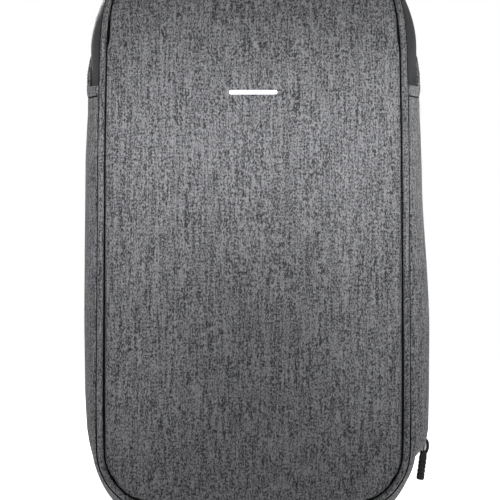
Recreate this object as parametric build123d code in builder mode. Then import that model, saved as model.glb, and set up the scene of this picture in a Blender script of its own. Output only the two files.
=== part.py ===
"""A soft business backpack with a zipped front flap, standing on its base.

Units are millimetres. +Z is up, the smooth front panel faces -Y and the wearer's back is at +Y.
The origin is on the floor, under the middle of the bag's own body.
"""

import os
from math import cos, radians, sin

from build123d import *

os.makedirs("parts", exist_ok=True)

# ---------------------------------------------------------------- the bag's body

body_width = 285.0  # gusset to gusset, without the side pockets
body_height = 488.0
body_depth = 150.0  # front panel to back panel
corner_radius = 60.0  # bottom corners, seen from the front

front_step_in = 11.0  # the front rim is smaller than the gusset by this, on each side
front_step_up = 13.0
front_step_down = 14.0
back_step_in = 4.5
back_step_down = 5.0
front_taper = 24.5  # depth over which the gusset widens behind the front rim
back_taper = 24.5

wall = 4.0  # padded gusset
panel_thickness = 5.5
piping_band = 5.6  # room left for the piping beside each panel
piping_radius = 2.7
flange_width = 12.0  # gusset cloth turned in behind the panels
flange_thickness = 2.0

# ---------------------------------------------------------------- the flap and its zip

fold_height = 52.0  # the front flap bends here
fold_gap = 0.4
zip_setback = 84.0  # behind the front face
tape_width = 5.0
tape_thickness = 1.2
tape_sink = 1.0
coil_width = 1.5
coil_proud = 0.6
coil_gap = 0.2
gore_thickness = 1.2
gore_clearance = 0.4
gore_length = 70.0
gore_slack = 4.0  # not sewn to the tub, next to the fold

slider_length = 12.0
slider_width = 8.0
slider_thickness = 3.0
slider_clearance = 0.4
pull_length = 26.0
pull_width = 8.0
pull_thickness = 6.4
pull_lean = 8.0  # degrees from upright
pull_stand_off = 8.0  # its pin, outside the gusset
pull_neck_radius = 1.1
bridge_width = 2.4
bridge_rise = 2.2

# ---------------------------------------------------------------- side pockets, badge and inside

pocket_room = 6.0
pocket_wall = 2.0
pocket_front_setback = 11.0
pocket_zip_gap = 13.0  # in front of the zip
pocket_bottom = 56.0
pocket_mouth_drop = 116.0  # its front end, below the bag's top
pocket_mouth_rise = 28.0  # its rear end, above its front end
pocket_hem = 12.0
hem_thickness = 1.0

badge_width = 40.0
badge_height = 5.0
badge_thickness = 0.8
badge_drop = 123.0  # below the bag's top

board_thickness = 3.0
divider_thickness = 8.0
divider_setback = 37.0  # in front of the back panel
divider_drop = 143.0  # below the bag's top
organiser_width = 180.0
organiser_bottom = 100.0
organiser_top = 290.0
organiser_room = 14.0
organiser_wall = 1.2

# ---------------------------------------------------------------- the wearer's side

pad_thickness = 8.0
pad_width = 90.0
pad_channel = 44.0
pad_bottom = 275.0
pad_drop = 83.0  # below the bag's top
lumbar_width = 192.0
lumbar_bottom = 30.0
lumbar_top = 145.0
pad_corner = 14.0

sleeve_width = 229.0
sleeve_bottom = 160.0
sleeve_height = 60.0
sleeve_cloth = 1.5
sleeve_room = 8.0  # for the trolley handle, outside the pads

back_zip_length = 130.0
back_zip_height = 12.0
back_zip_level = 255.0
back_zip_thickness = 1.5
back_slider_start = -56.0
back_pull_length = 22.0
back_pull_width = 8.0
back_pull_thickness = 2.0
back_pull_gap = 1.4  # below its slider

yoke_width = 170.0
yoke_height = 44.0
yoke_drop = 52.0  # its middle, below the bag's top
yoke_thickness = 2.0
strap_width = 62.0
strap_thickness = 11.0
strap_drop = 50.0  # below the bag's top
strap_end = 150.0
strap_overrun = 20.0  # drawn past each end, then trimmed
strap_shoulder_drop = 50.0
strap_top_spread = 48.0  # from the middle of the back
strap_end_spread = 90.0
strap_lean = 3.0
strap_root = 9.0  # off the back panel, at the yoke
strap_bow = 36.0  # off the back panel, below the shoulder
strap_end_bow = 31.0
tab_length = 12.0
tail_end = 30.0
webbing_width = 25.0
webbing_thickness = 1.6
webbing_gap = 0.6
lock_width = 31.0
lock_height = 24.0
lock_thickness = 5.0
anchor_spread = 118.0
anchor_level = 40.0
anchor_height = 24.0
anchor_thickness = 2.5
anchor_margin = 2.0

handle_span = 100.0
handle_rise = 28.0  # above its pin
handle_strip = 14.0
handle_cloth = 4.0
handle_setback = 23.0  # in front of the back panel
handle_clearance = 0.6
handle_bend = 16.0
patch_margin = 14.0
patch_width = 20.0
patch_rise = 0.3
grip_length = 66.0
grip_width = 22.0
grip_thickness = 8.0

port_height = 36.0
port_width = 22.0
port_thickness = 3.0
port_drop = 168.0  # its lower edge, below the bag's top
port_setback = 42.0
port_corner = 4.0
socket_width = 5.2
socket_height = 13.0
socket_floor = 0.6
cap_margin = 2.0
cap_drop = 5.0  # its hinge, below the port's top
cap_thickness = 1.5
cap_clearance = 0.3

# ---------------------------------------------------------------- places worked out from them

front_y = -body_depth / 2
back_y = body_depth / 2
front_seam = front_y + panel_thickness
back_seam = back_y - panel_thickness
half_width = body_width / 2
zip_y = front_y + zip_setback
pocket_mouth_front = body_height - pocket_mouth_drop
pocket_mouth_rear = pocket_mouth_front + pocket_mouth_rise
badge_level = body_height - badge_drop
divider_top = body_height - divider_drop
pad_top = body_height - pad_drop
yoke_level = body_height - yoke_drop
strap_top = body_height - strap_drop
port_level = body_height - port_drop
flap_low = fold_height + fold_gap / 2
tub_high = fold_height - fold_gap / 2
reach = 1000.0  # larger than the bag, for cutting tools
all_x = (-reach, reach)
all_y = (-reach, reach)
all_z = (-reach, reach)

gusset_rim = dict(half=half_width, low=0, high=body_height, corner=corner_radius)
gusset_rim.update(shoulder_in=27.4, shoulder_down=58, crown_in=82, crown_down=9.4, radii=(105, 48, 280))
front_rim = dict(half=half_width - front_step_in, low=front_step_up, high=body_height - front_step_down)
front_rim.update(corner=corner_radius - front_step_in, shoulder_in=13.5, shoulder_down=56.5)
front_rim.update(crown_in=71.5, crown_down=9.5, radii=(150, 30, 280))
back_rim = dict(half=half_width - back_step_in, low=0, high=body_height - back_step_down)
back_rim.update(corner=corner_radius - back_step_in, shoulder_in=27.4, shoulder_down=58)
back_rim.update(crown_in=82, crown_down=9.4, radii=(100, 44, 280))


def across(y):
    """The upright plane at this depth, facing the front."""
    return Plane.XZ.offset(-y)


def rim_points(rim):
    """The corners of the right half of an outline, from the base to the top."""
    half, high = rim["half"], rim["high"]
    return (
        (0, rim["low"]),
        (half, rim["low"]),
        (half, high - rim["shoulder_down"]),
        (half - rim["shoulder_in"], high - rim["crown_down"]),
        (half - rim["crown_in"], high),
        (0, high),
    )


def rim_face(rim, y, inset=0.0):
    """The face inside an outline at this depth, made smaller all round by the inset."""
    with BuildSketch(across(y)) as face:
        with BuildLine():
            FilletPolyline(*rim_points(rim), radius=(rim["corner"], *rim["radii"]))
            mirror(about=Plane.YZ)
        make_face()
        if inset:
            offset(amount=-inset)
    return face.sketch


def body_form(inset):
    """The bag's form between its two seams, made smaller all round by the inset."""
    faces = (
        rim_face(front_rim, front_seam, inset),
        rim_face(gusset_rim, front_seam + front_taper, inset),
        rim_face(gusset_rim, back_seam - back_taper, inset),
        rim_face(back_rim, back_seam, inset),
    )
    with BuildPart() as form:
        loft(sections=faces, ruled=True)
    return form.part


def block(x, y, z):
    """A box between two values on each axis."""
    middle = ((x[0] + x[1]) / 2, (y[0] + y[1]) / 2, (z[0] + z[1]) / 2)
    with BuildPart() as made:
        with Locations(middle):
            Box(x[1] - x[0], y[1] - y[0], z[1] - z[0])
    return made.part


def save(part, name):
    """Names a piece and writes its file."""
    part.label = name
    export_step(part, f"parts/{name}.step")


def seam_flange(rim, y, thickness):
    """A strip of the gusset's cloth turned in behind a panel's edge."""
    return extrude(rim_face(rim, y, wall / 2) - rim_face(rim, y, flange_width), thickness)


outer_form = body_form(0)
inner_form = body_form(wall)

# ---------------------------------------------------------------- gusset, cut at the zip and the fold

with BuildPart() as gusset:
    add(outer_form)
    add(inner_form, mode=Mode.SUBTRACT)
    add(seam_flange(front_rim, front_seam, -flange_thickness))
    add(seam_flange(back_rim, back_seam, flange_thickness))

with BuildPart() as front_gusset:
    add(gusset.part)
    add(block(all_x, (-reach, zip_y - tape_width), (flap_low, reach)), mode=Mode.INTERSECT)
save(front_gusset.part, "front_gusset")

with BuildPart() as tub_gusset:
    add(gusset.part)
    add(block(all_x, (-reach, zip_y + tape_width), (-reach, tub_high)), mode=Mode.INTERSECT)
save(tub_gusset.part, "tub_gusset")

with BuildPart() as rear_gusset:
    add(gusset.part)
    add(block(all_x, (zip_y + tape_width, reach), all_z), mode=Mode.INTERSECT)
save(rear_gusset.part, "rear_gusset")


def zip_half(edge, coil_edge, name):
    """One side of the main zip: a tape let into the gusset and half of its coil."""
    with BuildPart() as half:
        add(body_form(tape_sink))
        add(body_form(tape_sink + tape_thickness), mode=Mode.SUBTRACT)
        add(block(all_x, sorted((edge, coil_edge)), (flap_low, reach)), mode=Mode.INTERSECT)
    with BuildPart() as coil:
        add(body_form(-coil_proud))
        add(body_form(tape_sink + tape_thickness), mode=Mode.SUBTRACT)
        inner_edge = coil_edge + coil_width * (1 if edge > coil_edge else -1)
        add(block(all_x, sorted((inner_edge, coil_edge)), (flap_low, reach)), mode=Mode.INTERSECT)
    with BuildPart() as joined:
        add(half.part)
        add(coil.part)
    save(joined.part, name)


zip_half(zip_y - tape_width, zip_y - coil_gap / 2, "zip_tape_front")
zip_half(zip_y + tape_width, zip_y + coil_gap / 2, "zip_tape_rear")

# ---------------------------------------------------------------- panels and their piping

with BuildPart() as front_cover:
    add(extrude(rim_face(front_rim, front_y, piping_band), -panel_thickness))

with BuildPart() as front_panel:
    add(front_cover.part)
    add(block(all_x, all_y, (flap_low, reach)), mode=Mode.INTERSECT)
save(front_panel.part, "front_panel")

with BuildPart() as front_panel_lower:
    add(front_cover.part)
    add(block(all_x, all_y, (-reach, tub_high)), mode=Mode.INTERSECT)
save(front_panel_lower.part, "front_panel_lower")

with BuildPart() as back_panel:
    add(extrude(rim_face(back_rim, back_y, piping_band), panel_thickness))
save(back_panel.part, "back_panel")


def piping_ring(rim, y):
    """Round piping carried along an outline, half its band in from the edge."""
    with BuildPart() as ring:
        with BuildLine(across(y)) as path:
            points = rim_points(rim)
            FilletPolyline(*points, radius=(rim["corner"], *rim["radii"]))
        with BuildSketch(Plane(origin=path.line @ 0, z_dir=path.line % 0)):
            Circle(piping_radius)
        sweep()
        mirror(about=Plane.YZ)
    return ring.part


def shrunk(rim, inset):
    """An outline made smaller all round, with its bends kept on the same centres."""
    small = dict(rim)
    small["half"] = rim["half"] - inset
    small["low"] = rim["low"] + inset
    small["high"] = rim["high"] - inset
    small["corner"] = rim["corner"] - inset
    small["radii"] = tuple(radius - inset for radius in rim["radii"])
    return small


front_ring = piping_ring(shrunk(front_rim, piping_band / 2), front_seam - piping_radius)

with BuildPart() as front_piping:
    add(front_ring)
    add(block(all_x, all_y, (flap_low, reach)), mode=Mode.INTERSECT)
save(front_piping.part, "front_piping")

with BuildPart() as front_piping_lower:
    add(front_ring)
    add(block(all_x, all_y, (-reach, tub_high)), mode=Mode.INTERSECT)
save(front_piping_lower.part, "front_piping_lower")

with BuildPart() as rear_piping:
    add(piping_ring(shrunk(back_rim, piping_band / 2), back_seam + piping_radius))
save(rear_piping.part, "rear_piping")

with BuildPart() as badge:
    add(
        block(
            (-badge_width / 2, badge_width / 2),
            (front_y - badge_thickness, front_y),
            (badge_level - badge_height / 2, badge_level + badge_height / 2),
        )
    )
save(badge.part, "badge")

# ---------------------------------------------------------------- side pockets on the flap

pocket_form = body_form(-pocket_room)
pocket_skin = body_form(-pocket_room - pocket_wall)
hem_skin = body_form(-pocket_room - pocket_wall - hem_thickness)


def pocket_side(front, rear, low, lift):
    """The pocket's shape from the side, carried across the whole bag."""
    with BuildPart() as made:
        with BuildSketch(Plane.YZ.offset(-reach)):
            with BuildLine():
                FilletPolyline(
                    (front, pocket_mouth_front + lift),
                    (front, low),
                    (rear, low),
                    (rear, pocket_mouth_rear + lift),
                    radius=12,
                )
                Line((rear, pocket_mouth_rear + lift), (front, pocket_mouth_front + lift))
            make_face()
        extrude(amount=2 * reach)
    return made.part


pocket_front = front_y + pocket_front_setback
pocket_rear = zip_y - pocket_zip_gap

with BuildPart() as pocket_space:
    add(pocket_form)
    add(
        pocket_side(pocket_front + pocket_wall, pocket_rear - pocket_wall, pocket_bottom + pocket_wall, 5),
        mode=Mode.INTERSECT,
    )

with BuildPart() as pockets:
    add(pocket_skin)
    add(pocket_side(pocket_front, pocket_rear, pocket_bottom, 0), mode=Mode.INTERSECT)
    add(outer_form, mode=Mode.SUBTRACT)
    add(pocket_space.part, mode=Mode.SUBTRACT)

with BuildPart() as hems:
    add(hem_skin)
    add(pocket_side(pocket_front, pocket_rear, pocket_bottom, 0), mode=Mode.INTERSECT)
    add(pocket_side(pocket_front - 1, pocket_rear + 1, pocket_bottom - 1, -pocket_hem), mode=Mode.SUBTRACT)
    add(pocket_skin, mode=Mode.SUBTRACT)

for side, half in (("left", (-reach, 0)), ("right", (0, reach))):
    with BuildPart() as side_pocket:
        add(pockets.part)
        add(block(half, all_y, all_z), mode=Mode.INTERSECT)
    save(side_pocket.part, f"side_pocket_{side}")
    with BuildPart() as hem:
        add(hems.part)
        add(block(half, all_y, all_z), mode=Mode.INTERSECT)
    save(hem.part, f"pocket_hem_{side}")

# ---------------------------------------------------------------- folded gores inside the flap's lower ends

gore_low = fold_height - gore_length / 2
gore_high = fold_height + gore_length / 2
gore_y = (front_seam + flange_thickness + gore_clearance, zip_y - tape_width)

gore_inside = body_form(wall + gore_clearance + gore_thickness)

with BuildPart() as gore_hems:
    add(inner_form)
    add(gore_inside, mode=Mode.SUBTRACT)
    add(block(all_x, gore_y, (gore_low, tub_high - gore_slack)), mode=Mode.INTERSECT)

with BuildPart() as gore_folds:
    add(body_form(wall + gore_clearance))
    add(gore_inside, mode=Mode.SUBTRACT)
    add(block(all_x, gore_y, (gore_low, gore_high)), mode=Mode.INTERSECT)

for side, half in (("left", (-reach, -half_width / 2)), ("right", (half_width / 2, reach))):
    with BuildPart() as gore:
        add(gore_folds.part)
        add(gore_hems.part)
        add(block(half, all_y, all_z), mode=Mode.INTERSECT)
    save(gore.part, f"gore_{side}")

# ---------------------------------------------------------------- inside

board_y = (zip_y + tape_width, back_seam - flange_thickness)
with BuildPart() as base_board:
    add(inner_form)
    add(block(all_x, board_y, (wall, wall + board_thickness)), mode=Mode.INTERSECT)
save(base_board.part, "base_board")

divider_back = back_y - divider_setback
divider_y = (divider_back - divider_thickness, divider_back)
with BuildPart() as laptop_divider:
    add(inner_form)
    add(block(all_x, divider_y, (wall + board_thickness, divider_top)), mode=Mode.INTERSECT)
save(laptop_divider.part, "laptop_divider")

organiser_front = front_seam + organiser_wall + organiser_room
with BuildPart() as organiser:
    add(
        block(
            (-organiser_width / 2, organiser_width / 2),
            (front_seam, organiser_front),
            (organiser_bottom, organiser_top),
        )
    )
    add(
        block(
            (-organiser_width / 2 + organiser_wall, organiser_width / 2 - organiser_wall),
            (front_seam, organiser_front - organiser_wall),
            (organiser_bottom + organiser_wall, organiser_top),
        ),
        mode=Mode.SUBTRACT,
    )
save(organiser.part, "organiser_pocket")

# ---------------------------------------------------------------- pads, sleeve and hidden pocket on the back


def padding(size, middle, thickness, name):
    """A cushion of this width and height with rounded corners, standing on the back panel."""
    with BuildPart() as cushion:
        with BuildSketch(across(back_y)):
            with Locations(middle):
                RectangleRounded(*size, pad_corner)
        extrude(amount=-thickness)
    save(cushion.part, name)


pad_size = (pad_width, pad_top - pad_bottom)
pad_x = (pad_channel + pad_width) / 2
pad_z = (pad_bottom + pad_top) / 2
padding(pad_size, (-pad_x, pad_z), pad_thickness, "back_pad_left")
padding(pad_size, (pad_x, pad_z), pad_thickness, "back_pad_right")
lumbar_z = (lumbar_bottom + lumbar_top) / 2
padding((lumbar_width, lumbar_top - lumbar_bottom), (0, lumbar_z), pad_thickness, "lumbar_pad")
padding((yoke_width, yoke_height), (0, yoke_level), yoke_thickness, "yoke_patch")

sleeve_back = back_y + pad_thickness + sleeve_room
sleeve_z = (sleeve_bottom, sleeve_bottom + sleeve_height)
sleeve_x = sleeve_width / 2
sleeve_inner_x = sleeve_x - sleeve_cloth
with BuildPart() as luggage_sleeve:
    add(block((-sleeve_x, sleeve_x), (back_y, sleeve_back + sleeve_cloth), sleeve_z))
    add(block((-sleeve_inner_x, sleeve_inner_x), (back_y, sleeve_back), sleeve_z), mode=Mode.SUBTRACT)
save(luggage_sleeve.part, "luggage_sleeve")

back_zip_face = back_y + back_zip_thickness
with BuildPart() as back_zip:
    add(
        block(
            (-back_zip_length / 2, back_zip_length / 2),
            (back_y, back_zip_face),
            (back_zip_level - back_zip_height / 2, back_zip_level + back_zip_height / 2),
        )
    )
save(back_zip.part, "back_pocket_zip")

back_slider_back = back_zip_face + slider_clearance + slider_thickness
with BuildPart() as back_slider:
    add(
        block(
            (back_slider_start - slider_length / 2, back_slider_start + slider_length / 2),
            (back_zip_face + slider_clearance, back_slider_back),
            (back_zip_level - slider_width / 2, back_zip_level + slider_width / 2),
        )
    )
save(back_slider.part, "back_slider")

back_pull_top = back_zip_level - slider_width / 2 - back_pull_gap
with BuildPart() as back_pull:
    add(
        block(
            (back_slider_start - back_pull_width / 2, back_slider_start + back_pull_width / 2),
            (back_slider_back - back_pull_thickness, back_slider_back),
            (back_pull_top - back_pull_length, back_pull_top),
        )
    )
save(back_pull.part, "back_pull")

# ---------------------------------------------------------------- shoulder straps


def ribbon_front(points, radius, width, side):
    """A band of this width seen from the back, carried right through the bag's depth."""
    with BuildPart() as made:
        with BuildSketch(across(reach)):
            with BuildLine():
                FilletPolyline(*[(side * x, z) for x, z in points], radius=radius)
            trace(line_width=width)
        extrude(amount=2 * reach)
    return made.part


def ribbon_side(points, radius, thickness):
    """A band of this thickness seen from the side, carried right across the bag's width."""
    with BuildPart() as made:
        with BuildSketch(Plane.YZ.offset(-reach)):
            with BuildLine():
                FilletPolyline(*points, radius=radius)
            trace(line_width=thickness)
        extrude(amount=2 * reach)
    return made.part


strap_front_path = (
    (strap_top_spread, strap_top + strap_overrun),
    (strap_top_spread + strap_lean, strap_top - strap_shoulder_drop),
    (strap_end_spread, strap_end - strap_overrun),
)
strap_side_path = (
    (back_y + strap_root, strap_top),
    (back_y + strap_bow, strap_top - strap_shoulder_drop),
    (back_y + strap_bow + 1, (strap_top + strap_end) / 2),
    (back_y + strap_end_bow, strap_end),
)
lock_top = strap_end - tab_length
lock_low = lock_top - lock_height
lock_middle = back_y + strap_end_bow
lock_y = (lock_middle - lock_thickness / 2, lock_middle + lock_thickness / 2)
webbing_front_path = (
    (strap_end_spread + 4, lock_low + 6),
    (strap_end_spread + 8, (lock_low + anchor_level) / 2 + 13),
    (anchor_spread, anchor_level - anchor_height / 2),
)
webbing_side_path = (
    (lock_middle, lock_low - webbing_gap),
    (lock_middle - 8, (lock_low + anchor_level) / 2 - 5),
    (back_y + anchor_thickness + webbing_thickness, anchor_level + 1),
)
tail_y = lock_y[1] + webbing_gap

for side, sign in (("left", -1), ("right", 1)):
    with BuildPart() as strap_pad:
        add(ribbon_side(strap_side_path, (40, 200), strap_thickness))
        add(ribbon_front(strap_front_path, 300, strap_width, sign), mode=Mode.INTERSECT)
    save(strap_pad.part, f"strap_pad_{side}")

    lock_x = sign * (strap_end_spread + 1)
    with BuildPart() as strap_tab:
        add(
            block(
                (lock_x - webbing_width / 2, lock_x + webbing_width / 2),
                (lock_y[0], tail_y),
                (lock_top, strap_end + 1),
            )
        )
        add(strap_pad.part, mode=Mode.SUBTRACT)
    save(strap_tab.part, f"strap_tab_{side}")

    with BuildPart() as ladder_lock:
        with BuildSketch(across(lock_y[1])):
            with Locations((lock_x, (lock_top + lock_low) / 2)):
                RectangleRounded(lock_width, lock_height, 2)
                with Locations((0, lock_height / 4 - 0.5), (0, -lock_height / 4 + 0.5)):
                    Rectangle(webbing_width + 0.5, lock_height / 2 - 5, mode=Mode.SUBTRACT)
        extrude(amount=lock_thickness)
    save(ladder_lock.part, f"ladder_lock_{side}")

    with BuildPart() as strap_tail:
        add(
            block(
                (lock_x - webbing_width / 2, lock_x + webbing_width / 2),
                (tail_y, tail_y + webbing_thickness),
                (tail_end, lock_top + tab_length / 2),
            )
        )
    save(strap_tail.part, f"strap_tail_{side}")

    with BuildPart() as webbing:
        add(ribbon_side(webbing_side_path, 60, webbing_thickness))
        add(ribbon_front(webbing_front_path, 60, webbing_width, sign), mode=Mode.INTERSECT)
    save(webbing.part, f"lower_webbing_{side}")

    anchor_x = sign * anchor_spread
    with BuildPart() as anchor:
        add(
            block(
                (anchor_x - webbing_width / 2 - anchor_margin, anchor_x + webbing_width / 2 + anchor_margin),
                (back_y, back_y + anchor_thickness),
                (anchor_level - anchor_height / 2, anchor_level + anchor_height / 2),
            )
        )
    save(anchor.part, f"webbing_anchor_{side}")

# ---------------------------------------------------------------- carry handle

handle_y = back_y - handle_setback
handle_radius = handle_strip / 2
handle_pin = body_height + handle_clearance + handle_radius

with BuildPart() as handle_patch:
    add(
        block(
            (-handle_span / 2 - patch_margin, handle_span / 2 + patch_margin),
            (handle_y - patch_width / 2, handle_y + patch_width / 2),
            (body_height - wall, body_height + patch_rise),
        )
    )
    add(outer_form, mode=Mode.SUBTRACT)
save(handle_patch.part, "handle_patch")

with BuildPart() as handle_side:
    with BuildSketch(Plane.YZ.offset(-reach)):
        with Locations((handle_y, handle_pin)):
            Circle(handle_radius)
        with Locations((handle_y, handle_pin + handle_rise / 2)):
            Rectangle(handle_strip, handle_rise)
    extrude(amount=2 * reach)

with BuildPart() as carry_handle:
    with BuildSketch(across(handle_y + grip_width)):
        with BuildLine():
            FilletPolyline(
                (-handle_span / 2, body_height),
                (-handle_span / 2, handle_pin + handle_rise - handle_cloth / 2),
                (handle_span / 2, handle_pin + handle_rise - handle_cloth / 2),
                (handle_span / 2, body_height),
                radius=handle_bend,
            )
        trace(line_width=handle_cloth)
    extrude(amount=2 * grip_width)
    add(handle_side.part, mode=Mode.INTERSECT)
save(carry_handle.part, "carry_handle")

grip_z = handle_pin + handle_rise - handle_cloth / 2
with BuildPart() as grip:
    with BuildSketch(Plane.YZ.offset(-grip_length / 2)):
        with Locations((handle_y, grip_z)):
            RectangleRounded(grip_width, grip_thickness, 3.5)
    extrude(amount=grip_length)
    add(carry_handle.part, mode=Mode.SUBTRACT)
save(grip.part, "handle_grip")

# ---------------------------------------------------------------- main slider and its pull

slider_x = half_width + coil_proud + slider_clearance
slider_low = flap_low + 2
with BuildPart() as slider:
    with BuildSketch(Plane.YZ.offset(slider_x)):
        with Locations((zip_y, slider_low + slider_length / 2)):
            RectangleRounded(slider_width, slider_length, 2.5)
    extrude(amount=slider_thickness)
    with BuildSketch(Plane.YZ.offset(slider_x)):
        with Locations((zip_y, slider_low + slider_length / 2)):
            Rectangle(bridge_width, slider_length - 4)
    extrude(amount=slider_thickness + bridge_rise)
save(slider.part, "zip_slider")

pin_x = half_width + pull_stand_off
pin_z = slider_low + slider_length / 2 - 1
lean = radians(pull_lean)
pull_plane = Plane(origin=(pin_x, zip_y, pin_z), x_dir=(0, 1, 0), z_dir=(-sin(lean), 0, -cos(lean)))
with BuildPart() as pull:
    with BuildSketch(pull_plane.offset(slider_length / 2)):
        RectangleRounded(pull_width, pull_thickness, 2.6)
    extrude(amount=pull_length - slider_length / 2)
    with BuildSketch(pull_plane):
        Circle(pull_neck_radius)
    extrude(amount=slider_length / 2)
save(pull.part, "zip_pull")

# ---------------------------------------------------------------- charging port on the side

port_middle = port_level + port_height / 2
port_y = back_y - port_setback
port_x = -half_width - port_thickness
with BuildPart() as port:
    with BuildSketch(Plane.YZ.offset(-half_width)):
        with Locations((port_y, port_middle)):
            RectangleRounded(port_width, port_height, port_corner)
    extrude(amount=-port_thickness)
    with BuildSketch(Plane.YZ.offset(port_x)):
        with Locations((port_y, port_middle - cap_margin)):
            Rectangle(socket_width, socket_height)
    extrude(amount=port_thickness - socket_floor, mode=Mode.SUBTRACT)
save(port.part, "usb_port")

cap_low = port_level + cap_margin
cap_top = port_level + port_height - cap_drop
with BuildPart() as cap:
    with BuildSketch(Plane.YZ.offset(port_x - cap_clearance)):
        with Locations((port_y, (cap_low + cap_top) / 2)):
            RectangleRounded(port_width - 2 * cap_margin, cap_top - cap_low, port_corner - 1)
    extrude(amount=-cap_thickness)
save(cap.part, "usb_cap")
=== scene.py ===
import bpy
import numpy as np
from math import radians, pi
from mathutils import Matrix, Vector


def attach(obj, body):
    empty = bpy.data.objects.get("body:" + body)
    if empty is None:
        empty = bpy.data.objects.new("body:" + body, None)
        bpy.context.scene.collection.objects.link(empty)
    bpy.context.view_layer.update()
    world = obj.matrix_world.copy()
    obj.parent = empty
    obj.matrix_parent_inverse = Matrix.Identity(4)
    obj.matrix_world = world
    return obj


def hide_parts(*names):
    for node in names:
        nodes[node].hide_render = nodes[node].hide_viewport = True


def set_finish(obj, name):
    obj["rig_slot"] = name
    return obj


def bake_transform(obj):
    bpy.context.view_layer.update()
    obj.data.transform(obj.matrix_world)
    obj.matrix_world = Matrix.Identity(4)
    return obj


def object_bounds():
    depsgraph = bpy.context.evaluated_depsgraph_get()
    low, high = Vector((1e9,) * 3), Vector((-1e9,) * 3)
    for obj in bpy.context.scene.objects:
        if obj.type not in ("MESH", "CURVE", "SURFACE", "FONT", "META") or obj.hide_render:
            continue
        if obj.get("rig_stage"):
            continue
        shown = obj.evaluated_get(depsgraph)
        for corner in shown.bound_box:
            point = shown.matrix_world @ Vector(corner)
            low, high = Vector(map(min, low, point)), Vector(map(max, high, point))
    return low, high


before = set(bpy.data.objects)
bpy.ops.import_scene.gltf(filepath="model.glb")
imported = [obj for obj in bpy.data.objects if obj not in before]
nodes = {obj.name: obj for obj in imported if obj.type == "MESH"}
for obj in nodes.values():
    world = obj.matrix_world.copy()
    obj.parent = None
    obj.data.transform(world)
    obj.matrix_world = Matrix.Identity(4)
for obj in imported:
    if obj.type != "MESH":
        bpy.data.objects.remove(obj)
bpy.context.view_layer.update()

print("frame loaded, pieces in it:", len(nodes))


# a run of straight lines whose corners are turned by arcs of the given radii, as evenly spaced points: an
# arc's middle lies on the corner's bisector, at the radius over the sine of half the corner's angle
def roundedPath(points, radii, count, arcPoints=40):
    p = np.array(points, float)
    parts = [p[:1]]
    for i, r in enumerate(radii):
        before, corner, after = p[i], p[i + 1], p[i + 2]
        u = (before - corner) / np.linalg.norm(before - corner)
        v = (after - corner) / np.linalg.norm(after - corner)
        half = np.arccos(np.clip(u @ v, -1, 1)) / 2
        middle = corner + (u + v) / np.linalg.norm(u + v) * r / np.sin(half)
        start = corner + u * r / np.tan(half) - middle
        end = corner + v * r / np.tan(half) - middle
        turn = np.arccos(np.clip(start @ end / r**2, -1, 1))
        t = np.linspace(0, 1, arcPoints)[:, None]
        arc = (np.sin((1 - t) * turn) * start + np.sin(t * turn) * end) / np.sin(turn)
        parts.append(middle + arc)
    parts.append(p[-1:])
    return evenly(np.concatenate(parts), count)


# the same line with its points spread evenly: each coordinate interpolated on the running length
def evenly(line, count):
    step = np.linalg.norm(np.diff(line, axis=0), axis=1)
    keep = np.concatenate([[True], step > 1e-9])
    line = line[keep]
    along = lengthAlong(line)
    want = np.linspace(0, along[-1], count)
    return np.stack([np.interp(want, along, line[:, k]) for k in range(line.shape[1])], axis=1)


# a closed loop with its points spread evenly
def evenLoop(loop, count):
    return evenly(np.concatenate([loop, loop[:1]]), count + 1)[:-1]


# length along a line at each of its points: the running sum of its steps
def lengthAlong(line):
    return np.concatenate([[0], np.cumsum(np.linalg.norm(np.diff(line, axis=0), axis=1))])


# a sine or cosine raised to a power with its sign kept: under one, a circle's section becomes a rounded box
def squared(wave, power):
    return np.sign(wave) * np.abs(wave) ** power


# unit vectors: each one over its own length
def unit(v):
    return v / np.maximum(np.linalg.norm(v, axis=-1, keepdims=True), 1e-12)


# a quiet surface ripple, about -1 to 1: the mean of a few long sine waves in fixed random directions, made
# fuller
def ripple(p, size, seed, waves=7, gain=1.6):
    rng = np.random.default_rng(seed)
    total = np.zeros(p.shape[:-1])
    for k in range(waves):
        way = unit(rng.normal(size=3)) * 2 * pi / (size * rng.uniform(0.6, 1.7))
        total += np.sin(p @ way + rng.uniform(0, 2 * pi)) / waves
    return total * gain


# a mesh from a grid of points, wrapped or capped as asked, with two surface distances as a UV map where they
# are given
def gridPiece(name, grid, material, wrapRows=False, wrapCols=False, capRows=False, uv=None):
    rows, cols = grid.shape[:2]
    index = np.arange(rows * cols).reshape(rows, cols)
    if wrapRows:
        index = np.concatenate([index, index[:1]])
    if wrapCols:
        index = np.concatenate([index, index[:, :1]], axis=1)
    faces = np.stack([index[:-1, :-1], index[1:, :-1], index[1:, 1:], index[:-1, 1:]], axis=-1).reshape(-1, 4)
    faceList = faces.tolist()
    if capRows:
        faceList += [index[0, :cols].tolist(), index[-1, :cols][::-1].tolist()]
    mesh = bpy.data.meshes.new(name)
    mesh.from_pydata(grid.reshape(-1, 3).tolist(), [], faceList)
    if uv is not None:
        layer = mesh.uv_layers.new(name="cloth")
        corner = np.empty(len(mesh.loops), int)
        mesh.loops.foreach_get("vertex_index", corner)
        layer.data.foreach_set("uv", uv.reshape(-1, 2)[corner].astype(np.float32).ravel())
    return addPiece(name, mesh, material)


# turns a closed mesh's faces outward: its signed volume is the sum of its triangles' triple products
def turnOutward(mesh):
    mesh.calc_loop_triangles()
    corners = np.empty(len(mesh.loop_triangles) * 3, np.int32)
    mesh.loop_triangles.foreach_get("vertices", corners)
    p = meshPoints(mesh)[corners.reshape(-1, 3)]
    if (p[:, 0] * np.cross(p[:, 1], p[:, 2])).sum() < 0:
        mesh.flip_normals()


newPieces = []  # every piece made here, in order


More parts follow.
